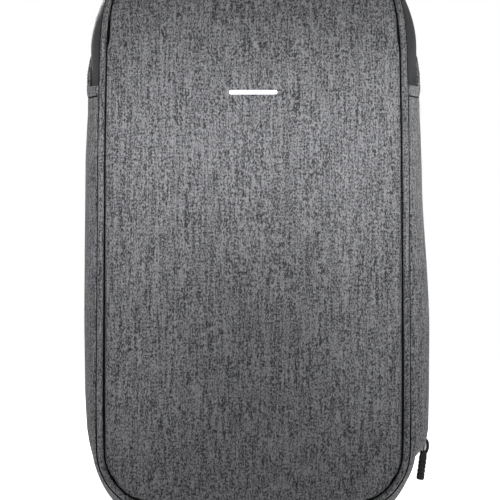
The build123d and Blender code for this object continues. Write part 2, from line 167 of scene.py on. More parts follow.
# puts a mesh in the scene with its material or materials
def addPiece(name, mesh, material, smooth=True):
    turnOutward(mesh)
    mesh.polygons.foreach_set("use_smooth", np.full(len(mesh.polygons), smooth))
    piece = bpy.data.objects.new(name, mesh)
    bpy.context.scene.collection.objects.link(piece)
    for m in material if isinstance(material, (list, tuple)) else [material]:
        mesh.materials.append(m)
    mesh.update()
    newPieces.append(piece)
    return piece


# every vertex of a mesh as an array
def meshPoints(mesh):
    flat = np.empty(len(mesh.vertices) * 3)
    mesh.vertices.foreach_get("co", flat)
    return flat.reshape(-1, 3)


# gives some faces the second material: those whose centre and normal pass the test
def paintFaces(piece, test, slotIndex=1):
    mesh = piece.data
    centre = np.empty(len(mesh.polygons) * 3)
    normal = np.empty(len(mesh.polygons) * 3)
    mesh.polygons.foreach_get("center", centre)
    mesh.polygons.foreach_get("normal", normal)
    which = test(centre.reshape(-1, 3), normal.reshape(-1, 3))
    slots = np.empty(len(mesh.polygons), np.int32)
    mesh.polygons.foreach_get("material_index", slots)
    slots[which] = slotIndex
    mesh.polygons.foreach_set("material_index", slots)


bandSection = dict(points=20, startAngle=0.001, widthPower=0.35, thicknessPower=0.6)


# a flat band with rounded edges: its section, width across and thickness through, carried along a path
def bandPiece(name, path, across, width, thickness, material, closed=False):
    side = unit(np.broadcast_to(across, path.shape))
    forward = unit(np.gradient(path, axis=0))
    out = unit(np.cross(side, forward))
    side = unit(np.cross(forward, out))
    a = np.linspace(0, 2 * pi, bandSection["points"], endpoint=False) + bandSection["startAngle"]
    u = squared(np.cos(a), bandSection["widthPower"])
    v = squared(np.sin(a), bandSection["thicknessPower"])
    widths = np.broadcast_to(width, (len(path),))[:, None]
    grid = (
        path[:, None]
        + side[:, None] * (u * widths / 2)[..., None]
        + out[:, None] * (v * thickness / 2)[None, :, None]
    )
    along = np.broadcast_to(lengthAlong(path)[:, None], grid.shape[:2])
    uv = np.stack([np.broadcast_to(u * widths / 2, grid.shape[:2]), along], axis=-1)
    return gridPiece(name, grid, material, wrapRows=closed, wrapCols=True, capRows=not closed, uv=uv)


# a round cord: a circle of this radius carried along a path, turned about a fixed direction that is never
# along it
def tubePiece(name, path, steady, radius, material, closed=False, sides=12):
    way = np.roll(path, -1, 0) - np.roll(path, 1, 0) if closed else np.gradient(path, axis=0)
    forward = unit(way)
    side = unit(np.cross(np.broadcast_to(steady, path.shape), forward))
    out = unit(np.cross(forward, side))
    a = np.linspace(0, 2 * pi, sides, endpoint=False)
    r = np.broadcast_to(radius, (len(path),))[:, None, None]
    circle = side[:, None] * np.cos(a)[None, :, None] + out[:, None] * np.sin(a)[None, :, None]
    grid = path[:, None] + circle * r
    return gridPiece(name, grid, material, wrapRows=closed, wrapCols=True, capRows=not closed)


thread = dict(
    pitch=0.0034, length=0.0026, radius=0.00036, rings=6, sides=6, leastGirth=0.02, sink=0.35, dip=0.8
)


# values at each point of a line, read off at lengths along it
def readAt(at, along, values):
    return np.stack([np.interp(at, along, values[:, k]) for k in range(3)], axis=1)


# a row of stitches: beads of thread laid along a line and turned to the surface's normal; a bead's girth goes
# with the square root of one minus its place along it cubed, and it dips with its place squared
def stitchPiece(name, line, normal, thread, material):
    along = lengthAlong(line)
    total = along[-1]
    count = max(2, int(total / thread["pitch"]))
    at = (np.arange(count) + 0.5) * total / count
    centre = readAt(at, along, line)
    up = unit(readAt(at, along, np.broadcast_to(normal, line.shape)))
    way = unit(readAt(at, along, np.gradient(line, axis=0)))
    side = np.cross(way, up)
    t = np.linspace(-1, 1, thread["rings"])
    a = np.linspace(0, 2 * pi, thread["sides"], endpoint=False)
    girth = np.sqrt(np.clip(1 - np.abs(t) ** 3, thread["leastGirth"], 1)) * thread["radius"]
    lengthwise = t[:, None] * thread["length"] / 2
    local = np.stack(
        np.broadcast_arrays(lengthwise, girth[:, None] * np.cos(a), girth[:, None] * np.sin(a)), -1
    )
    sink = -thread["sink"] * thread["radius"] - (t[:, None] ** 2 * thread["radius"]) * thread["dip"]
    local[..., 2] += sink
    points = (
        centre[:, None, None]
        + way[:, None, None] * local[None, ..., :1]
        + side[:, None, None] * local[None, ..., 1:2]
        + up[:, None, None] * local[None, ..., 2:]
    )
    rows, cols = local.shape[:2]
    index = np.arange(rows * cols).reshape(rows, cols)
    index = np.concatenate([index, index[:, :1]], axis=1)
    quads = np.stack([index[:-1, :-1], index[:-1, 1:], index[1:, 1:], index[1:, :-1]], -1).reshape(-1, 4)
    faces = (quads[None] + (np.arange(count) * rows * cols)[:, None, None]).reshape(-1, 4).tolist()
    base = np.arange(count)[:, None] * rows * cols
    faces += (base + np.arange(cols)[None, ::-1]).tolist()
    faces += (base + (rows - 1) * cols + np.arange(cols)[None]).tolist()
    mesh = bpy.data.meshes.new(name)
    mesh.from_pydata(points.reshape(-1, 3).tolist(), [], faces)
    return addPiece(name, mesh, material)


# a shader node with the given settings
def addNode(tree, kind, **values):
    made = tree.nodes.new(kind)
    for key, value in values.items():
        setattr(made, key, value)
    return made


# a shader node group with named inputs and outputs
def newGroup(name, inputs, outputs):
    group = bpy.data.node_groups.new(name, "ShaderNodeTree")
    for label, (kind, value) in inputs.items():
        made = group.interface.new_socket(label, in_out="INPUT", socket_type=kind)
        made.default_value = value
    for label, kind in outputs.items():
        group.interface.new_socket(label, in_out="OUTPUT", socket_type=kind)
    return group, group.nodes.new("NodeGroupInput"), group.nodes.new("NodeGroupOutput")


# one step of arithmetic on numbers or sockets
def mathNode(tree, operation, first, second=None):
    made = addNode(tree, "ShaderNodeMath", operation=operation)
    for socket, value in zip(made.inputs, (first, second)):
        if isinstance(value, (int, float)):
            socket.default_value = value
        elif value is not None:
            tree.links.new(value, socket)
    return made.outputs[0]


# place on the piece, stretched by three numbers
def stretched(tree, scale, turn=(0, 0, 0)):
    place = addNode(tree, "ShaderNodeTexCoord").outputs["Object"]
    mapping = addNode(tree, "ShaderNodeMapping")
    mapping.inputs["Scale"].default_value = scale
    mapping.inputs["Rotation"].default_value = turn
    tree.links.new(place, mapping.inputs["Vector"])
    return mapping.outputs[0]


# cloudy noise, 0 to 1, at a place
def noiseValue(tree, vector, scale, detail=2.0, roughness=0.5):
    made = addNode(tree, "ShaderNodeTexNoise")
    made.inputs["Scale"].default_value = scale
    made.inputs["Detail"].default_value = detail
    made.inputs["Roughness"].default_value = roughness
    tree.links.new(vector, made.inputs["Vector"])
    return made.outputs["Fac"]


# plain weave: its height is the product of a sine up the cloth and a sine across it, and its gaps are one
# minus a low power of the same product without its sign
def makeWeaveGroup():
    group, given, result = newGroup(
        "plainWeave", {"Threads per metre": ("NodeSocketFloat", 1500.0)},
        {"Height": "NodeSocketFloat", "Gaps": "NodeSocketFloat"}
    )
    parts = addNode(group, "ShaderNodeSeparateXYZ")
    group.links.new(addNode(group, "ShaderNodeTexCoord").outputs["Object"], parts.inputs[0])
    turn = mathNode(group, "MULTIPLY", given.outputs[0], pi)
    across = mathNode(
        group, "SINE",
        mathNode(group, "MULTIPLY", mathNode(group, "ADD", parts.outputs[0], parts.outputs[1]), turn)
    )
    up = mathNode(group, "SINE", mathNode(group, "MULTIPLY", parts.outputs[2], turn))
    height = mathNode(
        group, "ADD", mathNode(group, "MULTIPLY", mathNode(group, "MULTIPLY", across, up), 0.5), 0.5
    )
    group.links.new(height, result.inputs["Height"])
    bare = mathNode(group, "MULTIPLY", mathNode(group, "ABSOLUTE", across), mathNode(group, "ABSOLUTE", up))
    group.links.new(
        mathNode(group, "SUBTRACT", 1.0, mathNode(group, "POWER", bare, 0.4)), result.inputs["Gaps"]
    )
    return group


# mixed yarns: three noises, one fine, one drawn out level and one drawn out upright, added in shares, and
# spread by the contrast about their middle to choose between the dark yarn and the light one
def makeHeatherGroup():
    group, given, result = newGroup(
        "mixedYarn",
        {
            "Dark yarn": ("NodeSocketColor", (0.05, 0.05, 0.053, 1)),
            "Light yarn": ("NodeSocketColor", (0.4, 0.4, 0.41, 1)),
            "Contrast": ("NodeSocketFloat", 2.2),
        },
        {"Color": "NodeSocketColor", "Tone": "NodeSocketFloat"},
    )
    fine = noiseValue(group, stretched(group, (900, 900, 540)), 1.0, 2.0, 0.6)
    level = noiseValue(group, stretched(group, (150, 150, 1000)), 1.0, 2.0, 0.55)
    broad = noiseValue(group, stretched(group, (560, 560, 36)), 1.0, 2.0, 0.5)
    mix = mathNode(
        group, "ADD", mathNode(group, "MULTIPLY", fine, 0.6), mathNode(group, "MULTIPLY", level, 0.16)
    )
    mix = mathNode(group, "ADD", mix, mathNode(group, "MULTIPLY", broad, 0.24))
    tone = mathNode(
        group, "ADD", mathNode(group, "MULTIPLY", mathNode(group, "SUBTRACT", mix, 0.5), given.outputs[2]),
        0.5
    )
    clamp = addNode(group, "ShaderNodeClamp")
    group.links.new(tone, clamp.inputs[0])
    blend = addNode(group, "ShaderNodeMix", data_type="RGBA")
    group.links.new(clamp.outputs[0], blend.inputs["Factor"])
    group.links.new(given.outputs[0], blend.inputs[6])
    group.links.new(given.outputs[1], blend.inputs[7])
    group.links.new(blend.outputs[2], result.inputs["Color"])
    group.links.new(clamp.outputs[0], result.inputs["Tone"])
    return group


# moulded or coated grain: a fine noise plus a share of a broad one, as a height
def makeGrainGroup():
    group, given, result = newGroup(
        "surfaceGrain", {"Size": ("NodeSocketFloat", 1800.0), "Creases": ("NodeSocketFloat", 0.3)},
        {"Height": "NodeSocketFloat"}
    )
    place = stretched(group, (1, 1, 1))
    noise = addNode(group, "ShaderNodeTexNoise")
    group.links.new(place, noise.inputs["Vector"])
    group.links.new(given.outputs[0], noise.inputs["Scale"])
    noise.inputs["Detail"].default_value = 3
    broad = noiseValue(group, place, 55.0, 3.0, 0.55)
    total = mathNode(group, "ADD", noise.outputs["Fac"], mathNode(group, "MULTIPLY", broad, given.outputs[1]))
    group.links.new(total, result.inputs["Height"])
    return group


# use: the rubbed mask is the shape's own sharpness times a broken noise, and the dust is a broad noise
def makeWearGroup():
    group, given, result = newGroup(
        "rubbedEdges", {"Amount": ("NodeSocketFloat", 0.5)},
        {"Mask": "NodeSocketFloat", "Dust": "NodeSocketFloat"}
    )
    sharp = addNode(group, "ShaderNodeNewGeometry").outputs["Pointiness"]
    lifted = mathNode(group, "MULTIPLY", mathNode(group, "SUBTRACT", sharp, 0.52), 9.0)
    broken = noiseValue(group, stretched(group, (1, 1, 1)), 260.0, 4.0, 0.65)
    clamp = addNode(group, "ShaderNodeClamp")
    group.links.new(
        mathNode(group, "MULTIPLY", mathNode(group, "MULTIPLY", lifted, broken), given.outputs[0]),
        clamp.inputs[0]
    )
    group.links.new(clamp.outputs[0], result.inputs["Mask"])
    dust = noiseValue(group, stretched(group, (1, 1, 1)), 22.0, 4.0, 0.6)
    group.links.new(dust, result.inputs["Dust"])
    return group


weaveGroup = makeWeaveGroup()
heatherGroup = makeHeatherGroup()
grainGroup = makeGrainGroup()
wearGroup = makeWearGroup()


# a node group set in a material with its own values; an underscore in a name stands for a space
def placeGroup(tree, group, **values):
    made = addNode(tree, "ShaderNodeGroup", node_tree=group)
    for key, value in values.items():
        made.inputs[key.replace("_", " ")].default_value = value
    return made


# a material whose one shader has its sockets set by name
def newMaterial(name, **sockets):
    material = bpy.data.materials.new(name)
    material.use_nodes = True
    tree = material.node_tree
    shader = tree.nodes["Principled BSDF"]
    for key, value in sockets.items():
        shader.inputs[key.replace("_", " ")].default_value = value
    return material, tree, shader


# a height turned into a normal, on top of another bump where one is given
def bumpFrom(tree, shader, height, strength, distance, under=None):
    bump = addNode(tree, "ShaderNodeBump")
    bump.inputs["Strength"].default_value = strength
    bump.inputs["Distance"].default_value = distance
    tree.links.new(height, bump.inputs["Height"])
    if under is not None:
        tree.links.new(under.outputs[0], bump.inputs["Normal"])
    tree.links.new(bump.outputs[0], shader.inputs["Normal"])
    return bump


# a colour moved towards another by a share of a mask
def shadeBy(tree, color, other, mask, share):
    blend = addNode(tree, "ShaderNodeMix", data_type="RGBA")
    tree.links.new(mathNode(tree, "MULTIPLY", mask, share), blend.inputs["Factor"])
    for value, socket in ((color, blend.inputs[6]), (other, blend.inputs[7])):
        if isinstance(value, tuple):
            socket.default_value = (*value, 1)
        else:
            tree.links.new(value, socket)
    return blend.outputs[2]


# heathered cloth: mixed yarns, with painted shade darkening the gaps of the weave, paler where rubbed, with
# the weave's height over a slow unevenness
def makeHeatherCloth(name, dark, light, contrast, threads=1350.0):
    material, tree, shader = newMaterial(
        name, Roughness=0.9, Sheen_Weight=0.08, Sheen_Roughness=0.45, Specular_IOR_Level=0.15
    )
    yarn = placeGroup(tree, heatherGroup, Dark_yarn=(*dark, 1), Light_yarn=(*light, 1), Contrast=contrast)
    weave = placeGroup(tree, weaveGroup, Threads_per_metre=threads)
    wear = placeGroup(tree, wearGroup, Amount=0.3)
    # painted shade in the gaps between the threads
    color = shadeBy(tree, yarn.outputs["Color"], dark, weave.outputs["Gaps"], 0.55)
    color = shadeBy(tree, color, (0.2, 0.2, 0.2), wear.outputs["Mask"], 0.4)
    tree.links.new(color, shader.inputs["Base Color"])
    soft = bumpFrom(tree, shader, noiseValue(tree, stretched(tree, (1, 1, 1)), 38.0, 3.0), 0.25, 0.004)
    bumpFrom(tree, shader, weave.outputs["Height"], 0.55, 0.00035, soft)
    return material


# coated nylon: one colour, paler with dust and where rubbed, rougher with dust, a fine weave's height over
# grain
def makeSmoothNylon(name, color, roughness, crease=0.5):
    material, tree, shader = newMaterial(
        name, Sheen_Weight=0.03, Specular_IOR_Level=0.25, Coat_Weight=0.04, Coat_Roughness=0.4
    )
    weave = placeGroup(tree, weaveGroup, Threads_per_metre=2600.0)
    grain = placeGroup(tree, grainGroup, Size=900.0, Creases=2.0)
    wear = placeGroup(tree, wearGroup, Amount=0.6)
    made = shadeBy(tree, color, tuple(c * 2.4 for c in color), wear.outputs["Dust"], 0.35)
    made = shadeBy(tree, made, tuple(c * 5 for c in color), wear.outputs["Mask"], 0.35)
    tree.links.new(made, shader.inputs["Base Color"])
    rough = mathNode(tree, "ADD", mathNode(tree, "MULTIPLY", wear.outputs["Dust"], 0.22), roughness - 0.11)
    tree.links.new(rough, shader.inputs["Roughness"])
    soft = bumpFrom(tree, shader, grain.outputs["Height"], crease, 0.0011)
    bumpFrom(tree, shader, weave.outputs["Height"], 0.25, 0.00012, soft)
    return material


# spacer mesh: rows of small holes staggered in a honeycomb over a padding, the holes painted near-black as
# painted shade down in them
def makeAirMesh(name):
    material, tree, shader = newMaterial(name, Roughness=0.8, Sheen_Weight=0.2, Specular_IOR_Level=0.3)
    parts = addNode(tree, "ShaderNodeSeparateXYZ")
    tree.links.new(addNode(tree, "ShaderNodeTexCoord").outputs["Object"], parts.inputs[0])
    holes = []
    for shift in (0.0, 0.5):
        across = mathNode(
            tree, "ADD",
            mathNode(tree, "MULTIPLY", mathNode(tree, "ADD", parts.outputs[0], parts.outputs[1]), 330.0),
            shift
        )
        up = mathNode(tree, "ADD", mathNode(tree, "MULTIPLY", parts.outputs[2], 190.0), shift)
        squares = []
        for value in (across, up):
            centred = mathNode(tree, "SUBTRACT", mathNode(tree, "FRACT", value), 0.5)
            squares.append(mathNode(tree, "MULTIPLY", centred, centred))
        stretchedUp = mathNode(tree, "MULTIPLY", squares[1], 2.2)
        holes.append(mathNode(tree, "SQRT", mathNode(tree, "ADD", squares[0], stretchedUp)))
    near = mathNode(tree, "MINIMUM", holes[0], holes[1])
    depth = addNode(tree, "ShaderNodeMapRange")
    tree.links.new(near, depth.inputs[0])
    depth.inputs[1].default_value = 0.16
    depth.inputs[2].default_value = 0.3
    # painted shade: the holes are coloured near-black by their depth
    color = shadeBy(tree, (0.006, 0.006, 0.007), (0.05, 0.05, 0.054), depth.outputs[0], 1.0)
    tree.links.new(color, shader.inputs["Base Color"])
    weave = placeGroup(tree, weaveGroup, Threads_per_metre=2200.0)
    under = bumpFrom(tree, shader, depth.outputs[0], 0.9, 0.0007)
    bumpFrom(tree, shader, weave.outputs["Height"], 0.3, 0.0001, under)
    return material


# ribbed webbing: two rows of slanted ribs that meet in the middle, following the band's own map, with painted
# shade making the colour darker in the valleys between the ribs
def makeWebbing(name, color, ribs=520.0):
    material, tree, shader = newMaterial(name, Roughness=0.62, Sheen_Weight=0.3, Specular_IOR_Level=0.4)
    parts = addNode(tree, "ShaderNodeSeparateXYZ")
    tree.links.new(addNode(tree, "ShaderNodeUVMap", uv_map="cloth").outputs[0], parts.inputs[0])
    slant = mathNode(tree, "MULTIPLY", mathNode(tree, "ABSOLUTE", parts.outputs[0]), ribs * 0.8)
    along = mathNode(tree, "ADD", mathNode(tree, "MULTIPLY", parts.outputs[1], ribs), slant)
    rib = mathNode(tree, "ABSOLUTE", mathNode(tree, "SINE", mathNode(tree, "MULTIPLY", along, pi)))
    wale = mathNode(
        tree, "ABSOLUTE", mathNode(tree, "SINE", mathNode(tree, "MULTIPLY", parts.outputs[0], 900.0 * pi))
    )
    height = mathNode(
        tree, "ADD", mathNode(tree, "MULTIPLY", rib, 0.7), mathNode(tree, "MULTIPLY", wale, 0.3)
    )
    wear = placeGroup(tree, wearGroup, Amount=0.7)
    # painted shade: the colour is darkened where the rib height is low, in the valleys
    made = shadeBy(tree, tuple(c * 0.35 for c in color), color, height, 1.0)
    made = shadeBy(tree, made, tuple(min(c * 4, 1) for c in color), wear.outputs["Mask"], 0.35)
    tree.links.new(made, shader.inputs["Base Color"])
    bumpFrom(tree, shader, height, 0.7, 0.0004)
    return material


# moulded, metal, thread and print finishes: one colour, paler where rubbed, darker and rougher with dust,
# over grain
def makeMoulded(name, color, roughness, size, wearAmount, **sockets):
    material, tree, shader = newMaterial(name, **sockets)
    grain = placeGroup(tree, grainGroup, Size=size, Creases=0.2)
    wear = placeGroup(tree, wearGroup, Amount=wearAmount)
    made = shadeBy(tree, color, tuple(min(c * 3 + 0.002, 1) for c in color), wear.outputs["Mask"], 0.8)
    made = shadeBy(tree, made, tuple(c * 0.6 for c in color), wear.outputs["Dust"], 0.5)
    tree.links.new(made, shader.inputs["Base Color"])
    rough = mathNode(tree, "ADD", mathNode(tree, "MULTIPLY", wear.outputs["Dust"], 0.2), roughness - 0.1)
    tree.links.new(rough, shader.inputs["Roughness"])
    bumpFrom(tree, shader, grain.outputs["Height"], 0.35, 0.0002)
    return material


greyYarns = dict(dark=(0.016, 0.016, 0.0175), light=(0.205, 0.205, 0.214), contrast=5.8)
heatherCloth = makeHeatherCloth("heatherCloth", **greyYarns)
darkHeather = makeHeatherCloth(
    "darkHeather", dark=(0.012, 0.012, 0.013), light=(0.12, 0.12, 0.125), contrast=4.0
)
blackNylon = makeSmoothNylon("blackNylon", (0.011, 0.011, 0.012), 0.4)
sleeveNylon = makeSmoothNylon("sleeveNylon", (0.03, 0.03, 0.032), 0.55, 0.3)
greyLining = makeSmoothNylon("greyLining", (0.09, 0.09, 0.095), 0.6, 0.6)
airMesh = makeAirMesh("airMesh")
blackWebbing = makeWebbing("blackWebbing", (0.035, 0.035, 0.037))
zipTape = makeWebbing("zipTape", (0.025, 0.025, 0.027), 900.0)
zipNylon = makeMoulded("zipNylon", (0.02, 0.02, 0.021), 0.38, 2500.0, 0.4)
greyThread = makeMoulded("greyThread", (0.2, 0.2, 0.21), 0.7, 3000.0, 0.2)
blackThread = makeMoulded("blackThread", (0.02, 0.02, 0.021), 0.6, 3000.0, 0.2)
# seamShadow: a near-black, nearly shineless finish that is painted shade, laid in seam grooves and under the
# pocket hems
seamShadow = makeMoulded("seamShadow", (0.0025, 0.0025, 0.0027), 0.9, 3000.0, 0.0, Specular_IOR_Level=0.05)
gunmetal = makeMoulded("gunmetal", (0.3, 0.3, 0.31), 0.32, 1400.0, 0.8, Metallic=1.0)
blackRubber = makeMoulded("blackRubber", (0.007, 0.007, 0.0075), 0.6, 2200.0, 0.2, Specular_IOR_Level=0.3)
blackAcetal = makeMoulded("blackAcetal", (0.02, 0.02, 0.022), 0.42, 1500.0, 0.6)
stiffBoard = makeMoulded("stiffBoard", (0.05, 0.05, 0.05), 0.6, 600.0, 0.4)
palePrint = makeMoulded("palePrint", (0.82, 0.82, 0.83), 0.45, 1500.0, 0.0)
print("finishes made")


rimSizes = dict(
    front=dict(
        half=0.1315, low=0.013, high=0.474, corner=0.049, shoulder=(0.0135, 0.0565), crown=(0.0715, 0.0095),
        radii=(0.15, 0.03, 0.28)
    ),
    full=dict(
        half=0.1425, low=0.0, high=0.488, corner=0.06, shoulder=(0.0274, 0.058), crown=(0.082, 0.0094),
        radii=(0.105, 0.048, 0.28)
    ),
    back=dict(
        half=0.138, low=0.0, high=0.483, corner=0.0555, shoulder=(0.0274, 0.058), crown=(0.082, 0.0094),
        radii=(0.1, 0.044, 0.28)
    ),
)
bag = dict(
    frontSeam=-0.0695, fullFrom=-0.045, fullTo=0.045, backSeam=0.0695, height=0.488, fold=0.052, zip=0.009,
    foldGap=0.0003, groundGap=0.0002, straightShare=0.4, roundShare=0.6, drawTo=0.002, drawOver=0.03,
)
lowCount = 60  # points of half an outline under the fold
highCount = 260  # and above it
finePoints = 4000  # points of the line that both are taken from


# a closed outline: half of it cut at the fold into two evenly spaced runs, joined, then mirrored
def rimLoop(size):
    half, high = size["half"], size["high"]
    points = (
        (0, size["low"]),
        (half, size["low"]),
        (half, high - size["shoulder"][1]),
        (half - size["shoulder"][0], high - size["crown"][1]),
        (half - size["crown"][0], high),
        (0, high),
    )
    line = roundedPath(points, (size["corner"], *size["radii"]), finePoints)
    k = int(np.searchsorted(line[:, 1], bag["fold"]))
    right = np.concatenate([evenly(line[: k + 1], lowCount), evenly(line[k:], highCount)[1:]])
    return np.concatenate([right, right[1:-1][::-1] * (-1, 1)])


frontLoop, fullLoop, backLoop = (rimLoop(rimSizes[k]) for k in ("front", "full", "back"))
loopCount = len(fullLoop)
wholeRows = np.arange(loopCount)
upperRows = np.arange(lowCount - 1, loopCount - lowCount + 2)
lowerRows = np.concatenate([np.arange(loopCount - lowCount + 1, loopCount), np.arange(lowCount)])


# how far one side of the filled bag draws in at each height: (height, front rim, full outline), in metres
drawIn = np.array(
    (
        (0.0, 0.0, 0.003), (0.015, 0.0006, 0.0062), (0.03, 0.0006, 0.0066), (0.045, 0.0003, 0.006),
        (0.06, -0.0002, 0.0044), (0.1, -0.0009, 0.0026), (0.17, -0.0006, 0.001), (0.25, 0.0001, 0.0007),
        (0.31, 0.0004, 0.001), (0.346, 0.0009, 0.0016), (0.366, 0.0012, 0.0026), (0.376, 0.0015, 0.0042),
        (0.398, 0.002, 0.0036), (0.41, 0.0021, 0.0032), (0.425, 0.0014, 0.0034), (0.436, 0.0002, 0.0034),
        (0.448, -0.001, 0.0034), (0.462, -0.0004, 0.0022), (0.488, 0.0, 0.001),
    )
)


drawSteps = 200
drawBlur = 13


# an outline drawn in: its width times one less the draw-in over half the width, with the table smoothed by a
# mean over a few of its steps up the bag
def drawnIn(loop, column, share):
    z = np.linspace(0, bag["height"], drawSteps)
    table = np.pad(np.interp(z, drawIn[:, 0], drawIn[:, column]), drawBlur // 2, "edge")
    amount = np.convolve(table, np.ones(drawBlur) / drawBlur, "valid")
    half = np.abs(loop[:, 0]).max()
    return loop * np.stack([1 - np.interp(loop[:, 1], z, amount) / half * share, np.ones(len(loop))], 1)


# the bag's outline at a depth: from each end rim to the full one, part on a straight line and part on a
# quarter sine
def loopAt(y):
    if y < bag["fullFrom"]:
        t = np.clip((y - bag["frontSeam"]) / (bag["fullFrom"] - bag["frontSeam"]), 0, 1)
        end, full = drawnIn(frontLoop, 1, 1), drawnIn(fullLoop, 2, 1)
    elif y > bag["fullTo"]:
        t = np.clip((bag["backSeam"] - y) / (bag["backSeam"] - bag["fullTo"]), 0, 1)
        end, full = backLoop, fullLoop
    else:
        return drawnIn(fullLoop, 2, np.clip((bag["drawTo"] - y) / bag["drawOver"], 0, 1))
    return end + (full - end) * (bag["straightShare"] * t + bag["roundShare"] * np.sin(t * pi / 2))


# a section of (depth, distance in from the outline) carried round the bag's outline, each point moved along
# the outline's normal, and rippled where that is asked for
def carryRound(section, rows, soft=0.0, size=0.08, seed=1):
    columns = []
    for y, inset in section:
        loop = loopAt(y)
        way = np.roll(loop, -1, 0) - np.roll(loop, 1, 0)
        out = unit(np.stack([way[:, 1], -way[:, 0]], axis=1))
        flat = loop - out * inset
        columns.append(np.stack([flat[:, 0], np.full(loopCount, y), flat[:, 1]], axis=1)[rows])
    grid = np.stack(columns, axis=1)
    grid[..., 2] = np.maximum(grid[..., 2], bag["groundGap"])
    if soft:
        middle = grid.mean(axis=(0, 1))
        outward = unit((grid - middle) * (1, 0, 1))
        grid = grid + outward * (ripple(grid, size, seed) * soft)[..., None]
    return grid


wall = dict(
    outerPoints=34, innerPoints=12, thickness=0.0038, fullness=0.7, turnIn=0.0014, turnStart=0.0025,
    turnEnd=0.0012, dent=0.0007, dentWidth=0.0011,
)


# a cloth wall's closed section: out along the outside, which bulges as a power of a half sine and turns in at
# each end as a dying exponential, with a bell-shaped dent along each row of stitches, and back along the
# inside
def wallSection(start, end, bulge, dents=()):
    y = np.linspace(start, end, wall["outerPoints"])
    t = (y - start) / (end - start)
    turned = np.exp(-(y - start) / wall["turnStart"]) + np.exp(-(end - y) / wall["turnEnd"])
    inset = -bulge * np.sin(pi * t) ** wall["fullness"] + wall["turnIn"] * turned
    for at in dents:
        inset = inset + wall["dent"] * np.exp(-(((y - at) / wall["dentWidth"]) ** 2))
    back = np.linspace(end, start, wall["innerPoints"])
    outside = np.stack([y, inset], axis=1)
    inside = np.stack([back, np.full(wall["innerPoints"], wall["thickness"])], axis=1)
    return np.concatenate([outside, inside]), len(y)


# a wall carried round the bag: a whole ring, or a run that stops a small gap short of the fold, lined on the
# inside
def wallPiece(name, section, outerCount, rows, whole, materials, soft, size, seed):
    grid = carryRound(section, rows, soft, size, seed)
    if not whole:
        limit = grid[..., 2]
        if rows is upperRows:
            grid[..., 2] = np.maximum(limit, bag["fold"] + bag["foldGap"])
        else:
            grid[..., 2] = np.minimum(limit, bag["fold"] - bag["foldGap"])
    piece = gridPiece(name, grid, materials, wrapRows=whole, wrapCols=True, capRows=not whole)
    columns = len(section)
    slots = np.tile((np.arange(columns) >= outerCount - 1).astype(np.int32), len(rows) - (0 if whole else 1))
    total = np.ones(len(piece.data.polygons), np.int32)
    total[: len(slots)] = slots
    piece.data.polygons.foreach_set("material_index", total)
    return piece


gussets = dict(
    flap=dict(
        start=-0.0692, end=0.0038, bulge=0.0002, dents=(-0.0005,), soft=0.0005, size=0.07, seed=3,
        clothTop=0.355
    ),
    tub=dict(start=-0.0692, end=0.0136, bulge=0.0002, dents=(), soft=0.0, size=0.06, seed=4),
    rear=dict(start=0.0142, end=0.0692, bulge=0.0006, dents=(0.0186,), soft=0.0, size=0.08, seed=5),
)


# a gusset made from its sizes
def gussetPiece(name, g, rows, whole, materials):
    section, outerCount = wallSection(g["start"], g["end"], g["bulge"], g["dents"])
    return wallPiece(name, section, outerCount, rows, whole, materials, g["soft"], g["size"], g["seed"])


flapGusset = gussetPiece(
    "flapGusset", gussets["flap"], upperRows, False, (blackNylon, greyLining, heatherCloth)
)
slots = np.empty(len(flapGusset.data.polygons), np.int32)
flapGusset.data.polygons.foreach_get("material_index", slots)
paintFaces(flapGusset, lambda c, n: (c[:, 2] < gussets["flap"]["clothTop"]) & (slots == 0), 2)
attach(flapGusset, "front_flap")
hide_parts("front_gusset")
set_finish(flapGusset, "black_nylon")
tubGusset = gussetPiece("tubGusset", gussets["tub"], lowerRows, False, (heatherCloth, greyLining))
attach(tubGusset, "main_body")
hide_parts("tub_gusset")
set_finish(tubGusset, "grey_cloth")
rearGusset = gussetPiece("rearGusset", gussets["rear"], wholeRows, True, (heatherCloth, greyLining))
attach(rearGusset, "main_body")
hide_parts("rear_gusset")
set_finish(rearGusset, "grey_cloth")

# stitched rows beside the zip and beside the back seam, turned to a second line a little further out
outside = 0.01
for name, y, inset, rows, body, threadFinish in (
    ("flapZipStitches", -0.0005, -0.0002, upperRows, "front_flap", blackThread),
    ("rearZipStitches", 0.0186, 0.0001, upperRows, "main_body", greyThread),
    ("rearSeamStitches", 0.0655, 0.0002, wholeRows, "main_body", greyThread),
):
    line = carryRound([(y, inset)], rows)[:, 0]
    lifted = carryRound([(y, inset - outside)], rows)[:, 0]
    row = stitchPiece(name, line, unit(lifted - line), thread, threadFinish)
    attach(row, body)

# piping: cord under cloth, round the front and the back
piping = dict(radius=0.0027, inset=0.0028, frontY=-0.0722, backY=0.0722, sides=16)
line = carryRound([(piping["frontY"], piping["inset"])], wholeRows)[:, 0]
frontPiping = tubePiece(
    "frontPiping", line, (0, 1, 0), piping["radius"], heatherCloth, closed=True, sides=piping["sides"]
)
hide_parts("front_piping", "front_piping_lower")
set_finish(frontPiping, "grey_cloth")
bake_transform(frontPiping)
line = carryRound([(piping["backY"], piping["inset"])], wholeRows)[:, 0]
rearPiping = tubePiece(
    "rearPiping", line, (0, 1, 0), piping["radius"], darkHeather, closed=True, sides=piping["sides"]
)
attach(rearPiping, "main_body")
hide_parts("rear_piping")
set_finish(rearPiping, "black_webbing")

